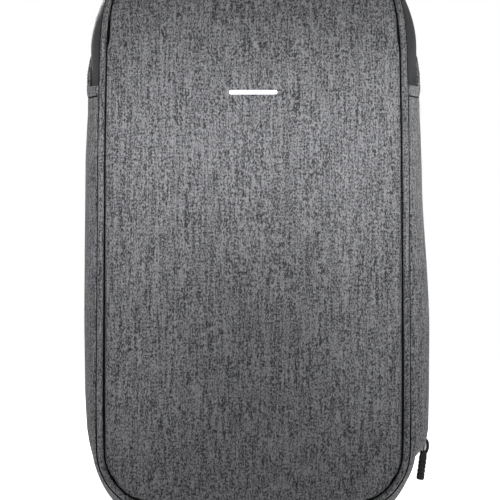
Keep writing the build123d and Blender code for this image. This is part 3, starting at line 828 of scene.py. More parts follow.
# painted shade: near-black cords standing for the shadow in the groove inside the piping and the shadow just
# outside it, the outer one growing thicker towards the base
seamShadeLines = dict(
    frontSeamInner=dict(inset=0.006, y=-0.0737, radius=0.00058, lowExtra=0.0),
    frontSeamOuter=dict(inset=-0.0002, y=-0.0712, radius=0.0005, lowExtra=0.0005),
)
lowFade = dict(top=0.15, over=0.08)
for name, seam in seamShadeLines.items():
    line = carryRound([(seam["y"], seam["inset"])], wholeRows)[:, 0]
    lowEnd = np.clip((lowFade["top"] - line[:, 2]) / lowFade["over"], 0, 1) * seam["lowExtra"]
    made = tubePiece(name, line, (0, 1, 0), seam["radius"] + lowEnd, seamShadow, closed=True, sides=8)
    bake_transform(made)

# the main zip: two tapes, and a coil on each whose turns swell and narrow
zipper = dict(
    tapeWidth=0.0058, tapeStart=0.0003, tapeInset=0.0011, tapeUnder=0.0021, foldGap=0.0004,
    coilRadius=0.00115, coilInset=0.0003, pitch=0.0016, gap=0.0007, sway=0.00025,
)


# the swell of a zip's coil: four points a turn, thicker and thinner on a cosine
def coilSwell(phase):
    return 0.8 + 0.2 * np.cos(phase)


for side, body, node in ((-1, "front_flap", "zip_tape_front"), (1, "main_body", "zip_tape_rear")):
    inner = bag["zip"] + side * zipper["tapeStart"]
    outer = bag["zip"] + side * zipper["tapeWidth"]
    ys = np.linspace(inner, outer, 6)
    section = [(y, zipper["tapeInset"]) for y in ys] + [(y, zipper["tapeUnder"]) for y in ys[::-1]]
    grid = carryRound(section, upperRows)
    grid[..., 2] = np.maximum(grid[..., 2], bag["fold"] + zipper["foldGap"])
    along = np.broadcast_to(lengthAlong(grid[:, 0])[:, None], grid.shape[:2])
    uv = np.stack([np.broadcast_to(grid[..., 1], along.shape), along], axis=-1)
    tape = gridPiece(
        "zipTape" + ("Front" if side < 0 else "Rear"), grid, zipTape, wrapCols=True, capRows=True, uv=uv
    )
    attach(tape, body)
    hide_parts(node)
    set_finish(tape, "zip_tape")
    line = carryRound([(bag["zip"] + side * zipper["gap"], zipper["coilInset"])], upperRows[2:-2])[:, 0]
    turns = int(lengthAlong(line)[-1] / zipper["pitch"])
    line = evenly(line, turns * 4)
    phase = np.arange(turns * 4) * pi / 2 + (0 if side < 0 else pi)
    swell = zipper["coilRadius"] * coilSwell(phase)
    line[:, 1] += side * zipper["sway"] * np.cos(phase)
    coil = tubePiece("zipCoil" + ("Front" if side < 0 else "Rear"), line, (0, 1, 0), swell, zipNylon, sides=8)
    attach(coil, body)
print("gussets, piping and zip made")


# distance of points from a closed outline: the least distance to its finely spaced points
def edgeDistance(points, outline, fineCount=500):
    fine = evenly(np.concatenate([outline, outline[:1]]), fineCount)
    flat = points.reshape(-1, 2)
    return np.sqrt(((flat[:, None] - fine[None]) ** 2).sum(-1)).min(1).reshape(points.shape[:-1])


# a quarter round that rises from nothing at the edge to 1 at the given distance
def quarterRound(e, width):
    return np.sqrt(np.clip(1 - (1 - np.clip(e / width, 0, 1)) ** 2, 0, 1))


# a closed pad: rings from the middle to the outline on one face, then back to the middle on the other, spaced
# on a quarter sine, with each face's depth worked out from the place and the distance to the edge
def padPiece(name, outline, faceY, backY, material, rings, centre=None, hole=0.004):
    centre = outline.mean(0) if centre is None else np.array(centre)
    r = np.sin(np.linspace(hole, 1, rings) * pi / 2)
    flat = centre + r[:, None, None] * (outline - centre)[None]
    e = edgeDistance(flat, outline)
    front = faceY(flat[..., 0], flat[..., 1], e)
    rear = backY(flat[..., 0], flat[..., 1], e)
    frontGrid = np.stack([flat[..., 0], front, flat[..., 1]], -1)
    rearGrid = np.stack([flat[::-1, :, 0], rear[::-1], flat[::-1, :, 1]], -1)
    grid = np.concatenate([frontGrid, rearGrid[1:]])
    return gridPiece(name, grid, material, wrapCols=True, capRows=True)


# a rectangle with round corners, of a width and height, about a middle
def roundedBox(width, height, x, z, corner, count=140):
    a, b = width / 2, height / 2
    points = ((0, -b), (a, -b), (a, b), (-a, b), (-a, -b), (0, -b))
    return roundedPath(points, (corner,) * 4, count + 1)[:-1] + (x, z)


waiting = []  # padded pieces to be filled together
filling = dict(
    quality=5, mass=0.25, stiffness=12, bending=0.8, frames=20, weights=(1.0, 0.6, 0.25), below=0.05,
    above=0.3, relaxFactor=0.5, relaxTurns=3,
)


# marks a piece to be filled: its voxel size, pressure, the most it may swell, and which points are sewn down
def fillLater(piece, voxel, pressure, cap, sewn, before=None):
    waiting.append(dict(piece=piece, voxel=voxel, pressure=pressure, cap=cap, sewn=sewn, before=before))


# replaces a piece's mesh with what its modifiers make of it
def settle(piece):
    made = bpy.data.meshes.new_from_object(piece.evaluated_get(bpy.context.evaluated_depsgraph_get()))
    old = piece.data
    piece.modifiers.clear()
    piece.data = made
    bpy.data.meshes.remove(old)


# fills every waiting piece at once: even voxels, then cloth under pressure with its seams held, each point's
# move cut back to the most allowed, then smoothing and one subdivision
def fillAll():
    for w in waiting:
        piece = w["piece"]
        remesh = piece.modifiers.new("even", "REMESH")
        remesh.mode = "VOXEL"
        remesh.voxel_size = w["voxel"]
        remesh.use_smooth_shade = True
        settle(piece)
        points = meshPoints(piece.data)
        if w["before"]:
            points = w["before"](points)
            piece.data.vertices.foreach_set("co", points.ravel())
        w["rest"] = points
        held = w["sewn"](points)
        group = piece.vertex_groups.new(name="sewn")
        for weight in filling["weights"]:
            inside = np.flatnonzero((held >= weight - filling["below"]) & (held < weight + filling["above"]))
            group.add(inside.tolist(), weight, "REPLACE")
        cloth = piece.modifiers.new("cloth", "CLOTH")
        cloth.settings.quality = filling["quality"]
        cloth.settings.mass = filling["mass"]
        cloth.settings.tension_stiffness = filling["stiffness"]
        cloth.settings.compression_stiffness = filling["stiffness"]
        cloth.settings.bending_stiffness = filling["bending"]
        cloth.settings.vertex_group_mass = "sewn"
        cloth.settings.use_pressure = True
        cloth.settings.uniform_pressure_force = w["pressure"]
        cloth.settings.effector_weights.gravity = 0
        cloth.point_cache.frame_start = 1
        cloth.point_cache.frame_end = filling["frames"]
    for f in range(1, filling["frames"] + 1):
        bpy.context.scene.frame_set(f)
    for w in waiting:
        piece = w["piece"]
        settle(piece)
        points = meshPoints(piece.data)
        move = points - w["rest"]
        length = np.linalg.norm(move, axis=1, keepdims=True)
        points = w["rest"] + move * np.minimum(1, w["cap"] / np.maximum(length, 1e-9))
        piece.data.vertices.foreach_set("co", points.ravel())
        piece.vertex_groups.clear()
        relax = piece.modifiers.new("relax", "SMOOTH")
        relax.factor = filling["relaxFactor"]
        relax.iterations = filling["relaxTurns"]
        finer = piece.modifiers.new("finer", "SUBSURF")
        finer.levels = finer.render_levels = 1
        settle(piece)
        piece.data.polygons.foreach_set("use_smooth", np.full(len(piece.data.polygons), True))
    bpy.context.scene.frame_set(1)


# the front cover: one padded cloth from the base to the top, crowned, its edge tucked beside the piping
cover = dict(
    inset=0.0042, points=260, rings=60, centre=(0, 0.245), edgeY=-0.0706, backY=-0.0698, roll=0.0046,
    rollWidth=0.011, crown=0.0085, halfWidth=0.126, widthPower=2.4, middleZ=0.247, halfHeight=0.228,
    heightPower=3.0, fullness=0.8, slack=0.0006, slackSize=0.11, slackFrom=0.03, slackSeed=11,
    sewnWidth=0.012, sewnBehind=-0.0715, lowHold=0.25, linedBehind=-0.0705,
)
coverOutline = carryRound([(bag["frontSeam"], cover["inset"])], wholeRows)[:, 0][:, [0, 2]]
coverOutline = evenLoop(coverOutline, cover["points"])


# the cover's face: forward by a quarter round at its edge, by a crown that is the product of two flat-topped
# arches, and by a slow ripple that fades at the edge
def coverFace(x, z, e):
    u = x / cover["halfWidth"]
    v = (z - cover["middleZ"]) / cover["halfHeight"]
    archAcross = np.clip(1 - np.abs(u) ** cover["widthPower"], 0, 1) ** cover["fullness"]
    archUp = np.clip(1 - np.abs(v) ** cover["heightPower"], 0, 1) ** cover["fullness"]
    swell = archAcross * archUp
    waves = ripple(np.stack([x, 0 * x, z], -1), cover["slackSize"], cover["slackSeed"])
    slack = cover["slack"] * waves * np.clip(e / cover["slackFrom"], 0, 1)
    return cover["edgeY"] - cover["roll"] * quarterRound(
        e, cover["rollWidth"]
    ) - cover["crown"] * swell - slack


# held fast at its edge and its back, and lightly elsewhere
def coverSewn(p):
    nearEdge = edgeDistance(p[:, [0, 2]], coverOutline) < cover["sewnWidth"]
    return np.where(nearEdge, 1.0, cover["lowHold"]) + (p[:, 1] > cover["sewnBehind"]) * 1.0


frontCover = padPiece(
    "frontCover", coverOutline, coverFace, lambda x, z, e: np.full(x.shape, cover["backY"]),
    (heatherCloth, greyLining), rings=cover["rings"], centre=cover["centre"],
)
fillLater(frontCover, voxel=0.0048, pressure=3.0, cap=0.003, sewn=coverSewn)

# back pads: mesh over foam, each with level sewn channels
pads = dict(
    padUpperLeft=dict(
        node="back_pad_left", width=0.09, height=0.13, x=-0.067, z=0.34, channels=(0.3, 0.34, 0.38)
    ),
    padUpperRight=dict(
        node="back_pad_right", width=0.09, height=0.13, x=0.067, z=0.34, channels=(0.3, 0.34, 0.38)
    ),
    padLumbar=dict(
        node="lumbar_pad", width=0.192, height=0.115, x=0.0, z=0.0875, channels=(0.06, 0.0875, 0.115)
    ),
)
padShape = dict(
    corner=0.014, under=0.0752, face=0.0755, thickness=0.0085, edgeThickness=0.0015, roll=0.011,
    sewnWidth=0.006, channelHold=0.0022, sewnBelow=0.0765, cutFrom=0.077, cutOver=0.006, cutDepth=0.0042,
    cutWidth=0.0028,
)
padRise = padShape["thickness"] - padShape["edgeThickness"]


# distance up or down from the nearest sewn channel
def channelDistance(p, size):
    return np.min([np.abs(p[:, 2] - z) for z in size["channels"]], axis=0)


# which points of a pad are held: its edge, its channels and its underside
def padSewn(size, outline):
    def test(p):
        nearEdge = edgeDistance(p[:, [0, 2]], outline) < padShape["sewnWidth"]
        nearChannel = channelDistance(p, size) < padShape["channelHold"]
        return np.where(nearEdge | nearChannel | (p[:, 1] < padShape["sewnBelow"]), 1.0, 0.0)
    return test


# sinks a pad's face along its channels by a bell curve of the distance from each
def padChannels(size):
    def cut(p):
        bell = np.exp(-((channelDistance(p, size) / padShape["cutWidth"]) ** 2))
        top = np.clip((p[:, 1] - padShape["cutFrom"]) / padShape["cutOver"], 0, 1)
        p = p.copy()
        p[:, 1] -= top * padShape["cutDepth"] * bell
        return p
    return cut


for name, size in pads.items():
    outline = roundedBox(size["width"], size["height"], size["x"], size["z"], padShape["corner"])
    pad = padPiece(
        name, outline, lambda x, z, e: padShape["under"] + 0.0 * e,
        lambda x, z, e: padShape["face"] + padRise * quarterRound(e, padShape["roll"]), airMesh, rings=26,
    )
    sewn = padSewn(size, outline)
    fillLater(pad, voxel=0.003, pressure=2.5, cap=0.0025, sewn=sewn, before=padChannels(size))
    size["piece"] = pad

# shoulder straps: an S curve of foam, grey outside and mesh inside, narrower at its lower end
strap = dict(
    thickness=0.0105, widthAt=(0, 0.12, 0.45, 0.85, 1), widths=(0.054, 0.057, 0.064, 0.055, 0.05), points=44,
    widthPower=0.5, thicknessPower=0.75, sewnFrom=0.84, sewnEnds=3, meshBelow=-0.0008, bindingRadius=0.0019,
    bindingPoints=339, bindingTurns=6, stitchInset=0.0052, stitchLift=0.9,
)
strapLine = roundedPath(
    ((0.048, 0.084, 0.4385), (0.0508, 0.1108, 0.388), (0.0685, 0.112, 0.294), (0.0868, 0.106, 0.151)),
    (0.042, 0.2), 90
)


# a strap's middle line with its directions forward, sideways and outward at each point, and its width
def strapFrame(sign):
    line = strapLine * (sign, 1, 1)
    forward = unit(np.gradient(line, axis=0))
    side = unit(np.cross(forward, np.broadcast_to((0, 0.35, 1.0), line.shape)))
    side = unit(side * (1, 0.15, 1))
    out = unit(np.cross(side, forward))
    out = out * np.sign(out[:, 1:2])
    side = unit(np.cross(forward, out))
    t = np.linspace(0, 1, len(line))
    width = np.interp(t, strap["widthAt"], strap["widths"])
    return line, forward, side, out, width


strapPieces = {}
for sideName, sign in (("Left", -1), ("Right", 1)):
    line, forward, side, out, width = strapFrame(sign)
    a = np.linspace(0, 2 * pi, strap["points"], endpoint=False) + 0.01
    u = squared(np.cos(a), strap["widthPower"])
    v = squared(np.sin(a), strap["thicknessPower"])
    grid = (
        line[:, None]
        + side[:, None] * (u[None] * width[:, None] / 2)[..., None]
        + out[:, None] * (v * strap["thickness"] / 2)[None, :, None]
    )
    pad = gridPiece("strapPad" + sideName, grid, (heatherCloth, airMesh), wrapCols=True, capRows=True)

    # held along both edges and at both ends: how far across each point lies is measured at the nearest line
    # point
    def strapSewn(p, line=line, side=side, width=width):
        near = np.argmin(((p[:, None] - line[None]) ** 2).sum(-1), axis=1)
        across = np.abs(((p - line[near]) * side[near]).sum(1)) / (width[near] / 2)
        ends = (near < strap["sewnEnds"]) | (near > len(line) - strap["sewnEnds"] - 1)
        return np.where((across > strap["sewnFrom"]) | ends, 1.0, 0.0)

    fillLater(pad, voxel=0.0035, pressure=3.0, cap=0.0022, sewn=strapSewn)
    strapPieces[sideName] = pad

# carry handle's padded grip, a soft roll round the webbing
grip = dict(
    length=0.066, width=0.0225, thickness=0.0092, y=0.052, z=0.5216, drop=0.0006, rings=40, points=36,
    endPower=8, leastTaper=0.02, taperPower=0.4, widthPower=0.7, thicknessPower=0.8, sewnFrom=0.03,
    lowHold=0.25,
)
t = np.linspace(-1, 1, grip["rings"])
taper = np.clip(1 - np.abs(t) ** grip["endPower"], grip["leastTaper"], 1) ** grip["taperPower"]
a = np.linspace(0, 2 * pi, grip["points"], endpoint=False)
acrossGrip = squared(np.cos(a), grip["widthPower"]) * (grip["width"] / 2 * taper)[:, None]
throughGrip = squared(np.sin(a), grip["thicknessPower"]) * (grip["thickness"] / 2 * taper)[:, None]
alongGrip = (t * grip["length"] / 2)[:, None]
gripGrid = np.stack(
    np.broadcast_arrays(alongGrip, grip["y"] + acrossGrip, grip["z"] - grip["drop"] + throughGrip), -1
)
gripPad = gridPiece("gripPad", gripGrid, heatherCloth, wrapCols=True, capRows=True)


# held at both ends, and lightly between
def gripSewn(p):
    return np.where(np.abs(p[:, 0]) > grip["sewnFrom"], 1.0, grip["lowHold"])


fillLater(gripPad, voxel=0.0022, pressure=3.0, cap=0.001, sewn=gripSewn)

# laptop divider: a padded sheet between the two gusset walls
board = dict(
    half=0.1375, low=0.0085, high=0.345, front=0.033, back=0.0345, swell=0.0028, roll=0.012, lowHold=0.25
)
dividerOutline = roundedPath(
    (
        (0, board["low"]), (board["half"], board["low"]), (board["half"], board["high"]),
        (-board["half"], board["high"]), (-board["half"], board["low"]), (0, board["low"]),
    ),
    (0.055, 0.02, 0.02, 0.055), 181,
)[:-1]
divider = padPiece(
    "laptopDivider", dividerOutline,
    lambda x, z, e: board["front"] - board["swell"] * quarterRound(e, board["roll"]),
    lambda x, z, e: board["back"] + board["swell"] * quarterRound(e, board["roll"]), greyLining, rings=30,
)


# held at its edge, and lightly elsewhere
def dividerSewn(p):
    return np.where(edgeDistance(p[:, [0, 2]], dividerOutline) < board["roll"], 1.0, board["lowHold"])


fillLater(divider, voxel=0.005, pressure=2.0, cap=0.0015, sewn=dividerSewn)

fillAll()
print("padded pieces filled")

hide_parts("front_panel", "front_panel_lower")
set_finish(frontCover, "grey_cloth")
paintFaces(frontCover, lambda c, n: c[:, 1] > cover["linedBehind"])
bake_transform(frontCover)
for name, size in pads.items():
    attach(size["piece"], "main_body")
    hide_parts(size["node"])
    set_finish(size["piece"], "air_mesh")
for sideName, sign in (("Left", -1), ("Right", 1)):
    body = "shoulder_strap_" + sideName.lower()
    pad = strapPieces[sideName]
    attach(pad, body)
    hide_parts("strap_pad_" + sideName.lower())
    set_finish(pad, "grey_cloth")
    line, forward, side, out, width = strapFrame(sign)

    # faces on the wearer's side: those that lie inward of the nearest line point
    def meshSide(c, n, line=line, out=out):
        near = np.argmin(((c[:, None] - line[None]) ** 2).sum(-1), axis=1)
        return ((c - line[near]) * out[near]).sum(1) < strap["meshBelow"]

    paintFaces(pad, meshSide)
    rim = np.concatenate([line + side * (width / 2)[:, None], (line - side * (width / 2)[:, None])[::-1]])
    rim = evenLoop(rim, strap["bindingPoints"])
    for _ in range(strap["bindingTurns"]):
        rim = (np.roll(rim, 1, 0) + 2 * rim + np.roll(rim, -1, 0)) / 4
    binding = tubePiece(
        "strapBinding" + sideName, rim, unit(out.mean(0)), strap["bindingRadius"], blackWebbing, closed=True,
        sides=10
    )
    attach(binding, body)
    for k, reach in enumerate((-1, 1)):
        reachOut = (reach * (width[3:-3] / 2 - strap["stitchInset"]))[:, None]
        rowLine = line[3:-3] + side[3:-3] * reachOut + out[3:-3] * (
            strap["thickness"] / 2 * strap["stitchLift"]
        )
        row = stitchPiece(f"strapStitches{sideName}{k + 1}", rowLine, out[3:-3], thread, greyThread)
        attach(row, body)

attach(gripPad, "carry_handle")
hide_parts("handle_grip")
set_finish(gripPad, "grey_cloth")
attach(divider, "main_body")
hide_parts("laptop_divider")
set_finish(divider, "lining")


# the back panel and what is sewn on it
backFace = dict(inset=0.0053, points=220, under=0.0699, face=0.0712, swell=0.0036, roll=0.01)
backOutline = carryRound([(bag["backSeam"], backFace["inset"])], wholeRows)[:, 0][:, [0, 2]]
backOutline = evenLoop(backOutline, backFace["points"])
backPanel = padPiece(
    "backPanel", backOutline, lambda x, z, e: backFace["under"] + 0 * e,
    lambda x, z, e: backFace["face"] + backFace["swell"] * quarterRound(e, backFace["roll"]),
    (airMesh, greyLining), rings=40, centre=(0, 0.24),
)
paintFaces(backPanel, lambda c, n: n[:, 1] < -0.5)
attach(backPanel, "main_body")
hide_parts("back_panel")
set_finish(backPanel, "air_mesh")

yoke = dict(
    width=0.17, height=0.044, z=0.436, under=0.0746, face=0.0752, thickness=0.0022, roll=0.003, hem=0.007
)
yokeOutline = roundedBox(yoke["width"], yoke["height"], 0, yoke["z"], 0.012)
yokePatch = padPiece(
    "yokePatch", yokeOutline, lambda x, z, e: yoke["under"] + 0 * e,
    lambda x, z, e: yoke["face"] + yoke["thickness"] * quarterRound(e, yoke["roll"]), heatherCloth, rings=20,
)
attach(yokePatch, "main_body")
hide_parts("yoke_patch")
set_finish(yokePatch, "black_nylon")
inner = roundedBox(yoke["width"] - yoke["hem"], yoke["height"] - yoke["hem"], 0, yoke["z"], 0.009)
line = np.stack([inner[:, 0], np.full(len(inner), yoke["face"] + yoke["thickness"]), inner[:, 1]], 1)
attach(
    stitchPiece("yokeStitches", np.concatenate([line, line[:1]]), (0, 1, 0), thread, greyThread), "main_body"
)

# sleeve for a trolley handle: one flat band of doubled cloth that stands off the pads
sleeve = dict(
    halfWidth=0.11375, seamY=0.0749, y=0.09175, low=0.16, height=0.06, thickness=0.0015, sag=0.0012,
    points=150, corner=0.007, hem=0.0005, hemFrom=0.36, endPoints=12, stitchInset=0.0065, stitchLift=0.0012,
)
sleeveLine = roundedPath(
    (
        (-sleeve["halfWidth"], sleeve["seamY"]), (-sleeve["halfWidth"], sleeve["y"]),
        (sleeve["halfWidth"], sleeve["y"]), (sleeve["halfWidth"], sleeve["seamY"]),
    ),
    (sleeve["corner"], sleeve["corner"]), sleeve["points"],
)
sleeveRise = sleeve["sag"] * np.clip(1 - (sleeveLine[:, 0] / sleeve["halfWidth"]) ** 2, 0, 1)
sleeveMiddle = np.full(sleeve["points"], sleeve["low"] + sleeve["height"] / 2)
sleevePath = np.stack([sleeveLine[:, 0], sleeveLine[:, 1] + sleeveRise, sleeveMiddle], 1)
v = np.linspace(-0.5, 0.5, 26)
hem = sleeve["hem"] * (np.abs(v) > sleeve["hemFrom"])
outward = unit(np.cross(np.gradient(sleevePath, axis=0), (0, 0, 1.0)))
outward = outward * np.sign((outward * (0, 1, 0)).sum(1, keepdims=True) + 1e-9)
outward[: sleeve["endPoints"]] = (-1, 0, 0)
outward[-sleeve["endPoints"] :] = (1, 0, 0)
outward = unit(outward)
rows = []
for reach, order in ((1, 1), (-1, -1)):
    vs, hs = v[::order], hem[::order]
    sheetPoints = sleevePath[:, None] + np.array([0, 0, 1.0]) * (vs * sleeve["height"])[None, :, None]
    off = reach * sleeve["thickness"] / 2 + (hs if reach > 0 else 0)
    off = np.broadcast_to(off, vs.shape)
    rows.append(sheetPoints + outward[:, None] * off[None, :, None])
luggageSleeve = gridPiece(
    "luggageSleeve", np.concatenate(rows, axis=1), sleeveNylon, wrapCols=True, capRows=True
)
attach(luggageSleeve, "main_body")
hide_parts("luggage_sleeve")
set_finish(luggageSleeve, "black_nylon")
for k, z in enumerate(
    (sleeve["low"] + sleeve["stitchInset"], sleeve["low"] + sleeve["height"] - sleeve["stitchInset"])
):
    line = sleevePath[8:-8] + outward[8:-8] * sleeve["stitchLift"]
    line = np.stack([line[:, 0], line[:, 1], np.full(len(line), z)], 1)
    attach(stitchPiece(f"sleeveStitches{k + 1}", line, outward[8:-8], thread, greyThread), "main_body")

# hidden pocket's zip on the back
backZip = dict(
    half=0.064, y=0.0757, z=0.255, width=0.0125, thickness=0.0013, points=60, coilHalf=0.06, coilPoints=300,
    coilY=0.0763, coilSway=0.0003, coilRadius=0.0011,
)
x = np.linspace(-backZip["half"], backZip["half"], backZip["points"])
line = np.stack([x, np.full(len(x), backZip["y"]), np.full(len(x), backZip["z"])], 1)
tape = bandPiece("backZipTape", line, (0, 0, 1.0), backZip["width"], backZip["thickness"], zipTape)
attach(tape, "main_body")
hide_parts("back_pocket_zip")
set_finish(tape, "zip_tape")
x = np.linspace(-backZip["coilHalf"], backZip["coilHalf"], backZip["coilPoints"])
phase = np.arange(backZip["coilPoints"]) * pi / 2
height = np.full(len(x), backZip["z"]) + backZip["coilSway"] * np.cos(phase)
line = np.stack([x, np.full(len(x), backZip["coilY"]), height], 1)
coil = tubePiece("backZipCoil", line, (0, 1, 0), backZip["coilRadius"] * coilSwell(phase), zipNylon, sides=8)
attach(coil, "main_body")


# webbing: tabs, tails, lower straps and their anchors
web = dict(width=0.025, thickness=0.0016, hemWidth=0.0252, hemOff=0.0014, lockX=0.091, footX=0.118)
anchor = dict(
    low=0.028, high=0.052, lowHalf=0.0165, highHalf=0.0135, corner=0.003, under=0.0745, face=0.0755,
    rise=0.002, stitchShare=0.8, stitchY=0.0775,
)
for sideName, sign in (("Left", -1), ("Right", 1)):
    low = sideName.lower()
    body = "shoulder_strap_" + low
    lockX = sign * web["lockX"]
    footX = sign * web["footX"]
    tabLine = roundedPath(
        (
            (sign * 0.078, 0.1128, 0.196), (sign * 0.0868, 0.1098, 0.152), (lockX, 0.1088, 0.139),
            (lockX, 0.1035, 0.1375), (lockX, 0.1022, 0.149)
        ),
        (0.02, 0.002, 0.002), 70,
    )
    tab = bandPiece("strapTab" + sideName, tabLine, (1.0, 0, 0), web["width"], web["thickness"], blackWebbing)
    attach(tab, body)
    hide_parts("strap_tab_" + low)
    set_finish(tab, "black_webbing")
    tailLine = roundedPath(
        ((lockX, 0.1088, 0.1435), (lockX, 0.1098, 0.118), (lockX, 0.1106, 0.07), (lockX, 0.1094, 0.0315)),
        (0.03, 0.08), 60
    )
    tail = bandPiece(
        "strapTail" + sideName, tailLine, (1.0, 0, 0), web["width"], web["thickness"], blackWebbing
    )
    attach(tail, body)
    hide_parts("strap_tail_" + low)
    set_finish(tail, "black_webbing")
    hemLine = tailLine[-9:] + (0, web["hemOff"], 0)
    tailHem = bandPiece(
        "strapTailHem" + sideName, hemLine, (1.0, 0, 0), web["hemWidth"], web["thickness"], blackWebbing
    )
    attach(tailHem, body)
    webLine = roundedPath(
        (
            (lockX, 0.106, 0.1165), (lockX + sign * 0.004, 0.1035, 0.092),
            (sign * 0.108, 0.089, 0.058), (footX, 0.0788, 0.034),
        ),
        (0.05, 0.05), 70,
    )
    tilted = unit(np.array((1.0, 0, sign * 0.3)))
    webbing = bandPiece(
        "lowerWebbing" + sideName, webLine, tilted, web["width"], web["thickness"], blackWebbing
    )
    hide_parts("lower_webbing_" + low)
    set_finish(webbing, "black_webbing")
    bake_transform(webbing)
    tri = roundedPath(
        (
            (footX, anchor["low"]), (footX + anchor["lowHalf"], anchor["low"]),
            (footX + anchor["highHalf"], anchor["high"]), (footX - anchor["highHalf"], anchor["high"]),
            (footX - anchor["lowHalf"], anchor["low"]), (footX, anchor["low"]),
        ),
        (anchor["corner"],) * 4, 101,
    )[:-1]
    anchorPiece = padPiece(
        "webbingAnchor" + sideName, tri, lambda x, z, e: anchor["under"] + 0 * e,
        lambda x, z, e: anchor["face"] + anchor["rise"] * quarterRound(e, anchor["rise"]), heatherCloth,
        rings=14,
    )
    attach(anchorPiece, "main_body")
    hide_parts("webbing_anchor_" + low)
    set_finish(anchorPiece, "grey_cloth")
    inner = (tri - tri.mean(0)) * anchor["stitchShare"] + tri.mean(0)
    line = np.stack([inner[:, 0], np.full(len(inner), anchor["stitchY"]), inner[:, 1]], 1)
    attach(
        stitchPiece(
            "anchorStitches" + sideName, np.concatenate([line, line[:1]]), (0, 1, 0), thread, greyThread
        ),
        "main_body"
    )

# carry handle's webbing, sewn to a patch on the top of the gusset
handle = dict(half=0.05, foot=0.4885, corner=0.016, points=110, width=0.0142, thickness=0.0036)
handleLine = roundedPath(
    (
        (-handle["half"], handle["foot"]), (-handle["half"], grip["z"]),
        (handle["half"], grip["z"]), (handle["half"], handle["foot"]),
    ),
    (handle["corner"], handle["corner"]), handle["points"],
)
handlePath = np.stack([handleLine[:, 0], np.full(handle["points"], grip["y"]), handleLine[:, 1]], 1)
handleWebbing = bandPiece(
    "handleWebbing", handlePath, (0, 1.0, 0), handle["width"], handle["thickness"], blackWebbing
)
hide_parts("carry_handle")
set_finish(handleWebbing, "black_webbing")
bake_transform(handleWebbing)
patchOff = -0.0012
patchTop = [(y, patchOff) for y in np.linspace(0.0428, 0.0612, 10)]
section = [(0.042, 0.0005), (0.0422, -0.0008)] + patchTop + [(0.0618, -0.0008), (0.062, 0.0005)]
topRows = np.flatnonzero((np.abs(fullLoop[:, 0]) < 0.064) & (fullLoop[:, 1] > 0.4))
patch = gridPiece("handlePatch", carryRound(section, topRows), heatherCloth, wrapCols=True, capRows=True)
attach(patch, "main_body")
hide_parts("handle_patch")
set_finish(patch, "grey_cloth")
for k, y in enumerate((0.0445, 0.0595)):
    line = carryRound([(y, patchOff)], topRows)[:, 0]
    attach(stitchPiece(f"handlePatchStitches{k + 1}", line, (0, 0, 1.0), thread, greyThread), "main_body")


# side pockets: flat pillows on the flap's gusset, open at a sloping bound mouth
pocket = dict(
    front=-0.0688, rear=-0.004, bottom=0.0555, mouth=0.3715, rise=0.028, riseFrom=-0.054, riseTo=-0.03,
    wall=0.0013, hem=0.009, hemOver=0.0006, hemOff=0.0011, hemWall=0.0004, edge=0.016, corner=0.014,
    columns=56, rows=120, hemRows=10, folds=0.0005, foldSize=0.05, foldFrom=0.015, least=0.0004,
    seamWidth=0.0003, tuck=-0.0012, innerTuck=-0.0024, hemShadeRadius=0.0007,
)
# how far each pocket stands off the bag at each height
standOff = dict(
    Left=(
        (0.056, 0.0004), (0.066, 0.002), (0.08, 0.0036), (0.11, 0.0042), (0.17, 0.0036), (0.25, 0.0028),
        (0.31, 0.0024), (0.35, 0.0009), (0.37, 0.002), (0.385, 0.0022), (0.401, 0.0002)
    ),
    Right=(
        (0.056, 0.0032), (0.066, 0.0086), (0.08, 0.0105), (0.11, 0.0102), (0.17, 0.0086), (0.224, 0.006),
        (0.276, 0.003), (0.33, 0.001), (0.35, 0.0006), (0.37, 0.0016), (0.385, 0.0018), (0.401, 0.0)
    ),
)


# the bag's half width at each depth and height, read off the outline at each depth
def bagHalf(y, z):
    columns = []
    for k in range(y.shape[1]):
        loop = loopAt(float(y[0, k]))[: lowCount + highCount - 40]
        columns.append(np.interp(z[:, k], loop[:, 1], loop[:, 0]))
    return np.stack(columns, 1)


# a grid up the pocket's wall: the bag's half width, depth, height, how far the cloth stands off, and the
# distance to its seams. It stands off by the table's distance times a quarter round from the seams, with a
# ripple added. The mouth rises towards the back on a smooth step, three times the square less twice the cube
def pocketGrid(sideName, hemOnly, columns, rows):
    u = (1 - np.cos(np.linspace(0, pi, columns))) / 2
    y = pocket["front"] + (pocket["rear"] - pocket["front"]) * u
    t = np.clip((y - pocket["riseFrom"]) / (pocket["riseTo"] - pocket["riseFrom"]), 0, 1)
    mouth = pocket["mouth"] + pocket["rise"] * t * t * (3 - 2 * t) + (pocket["hemOver"] if hemOnly else 0)
    base = mouth - pocket["hem"] if hemOnly else pocket["bottom"] - 0.001
    z = base + (mouth - base) * np.linspace(0, 1, rows)[:, None]
    y = np.broadcast_to(y, z.shape)
    half = bagHalf(y, z)
    side = np.minimum(y - pocket["front"], pocket["rear"] - y)
    low = z - pocket["bottom"]
    corner = pocket["corner"]
    rounded = corner - np.hypot(np.clip(corner - side, 0, None), np.clip(corner - low, 0, None))
    e = np.where(np.minimum(side, low) < corner, rounded, np.minimum(side, low))
    stand = np.interp(z, *np.array(standOff[sideName]).T)
    body = np.stack([half * (1 if sideName == "Right" else -1), y, z], -1)
    waves = ripple(body * (1, 1, 0.3), pocket["foldSize"], 21 if sideName == "Right" else 22)
    folds = waves * pocket["folds"] * np.clip(e / pocket["foldFrom"], 0, 1)
    off = pocket["least"] + stand * quarterRound(np.clip(e, 0, None), pocket["edge"]) + folds
    return half, y, z, np.where(e > pocket["seamWidth"], np.maximum(off, pocket["least"]), pocket["tuck"]), e


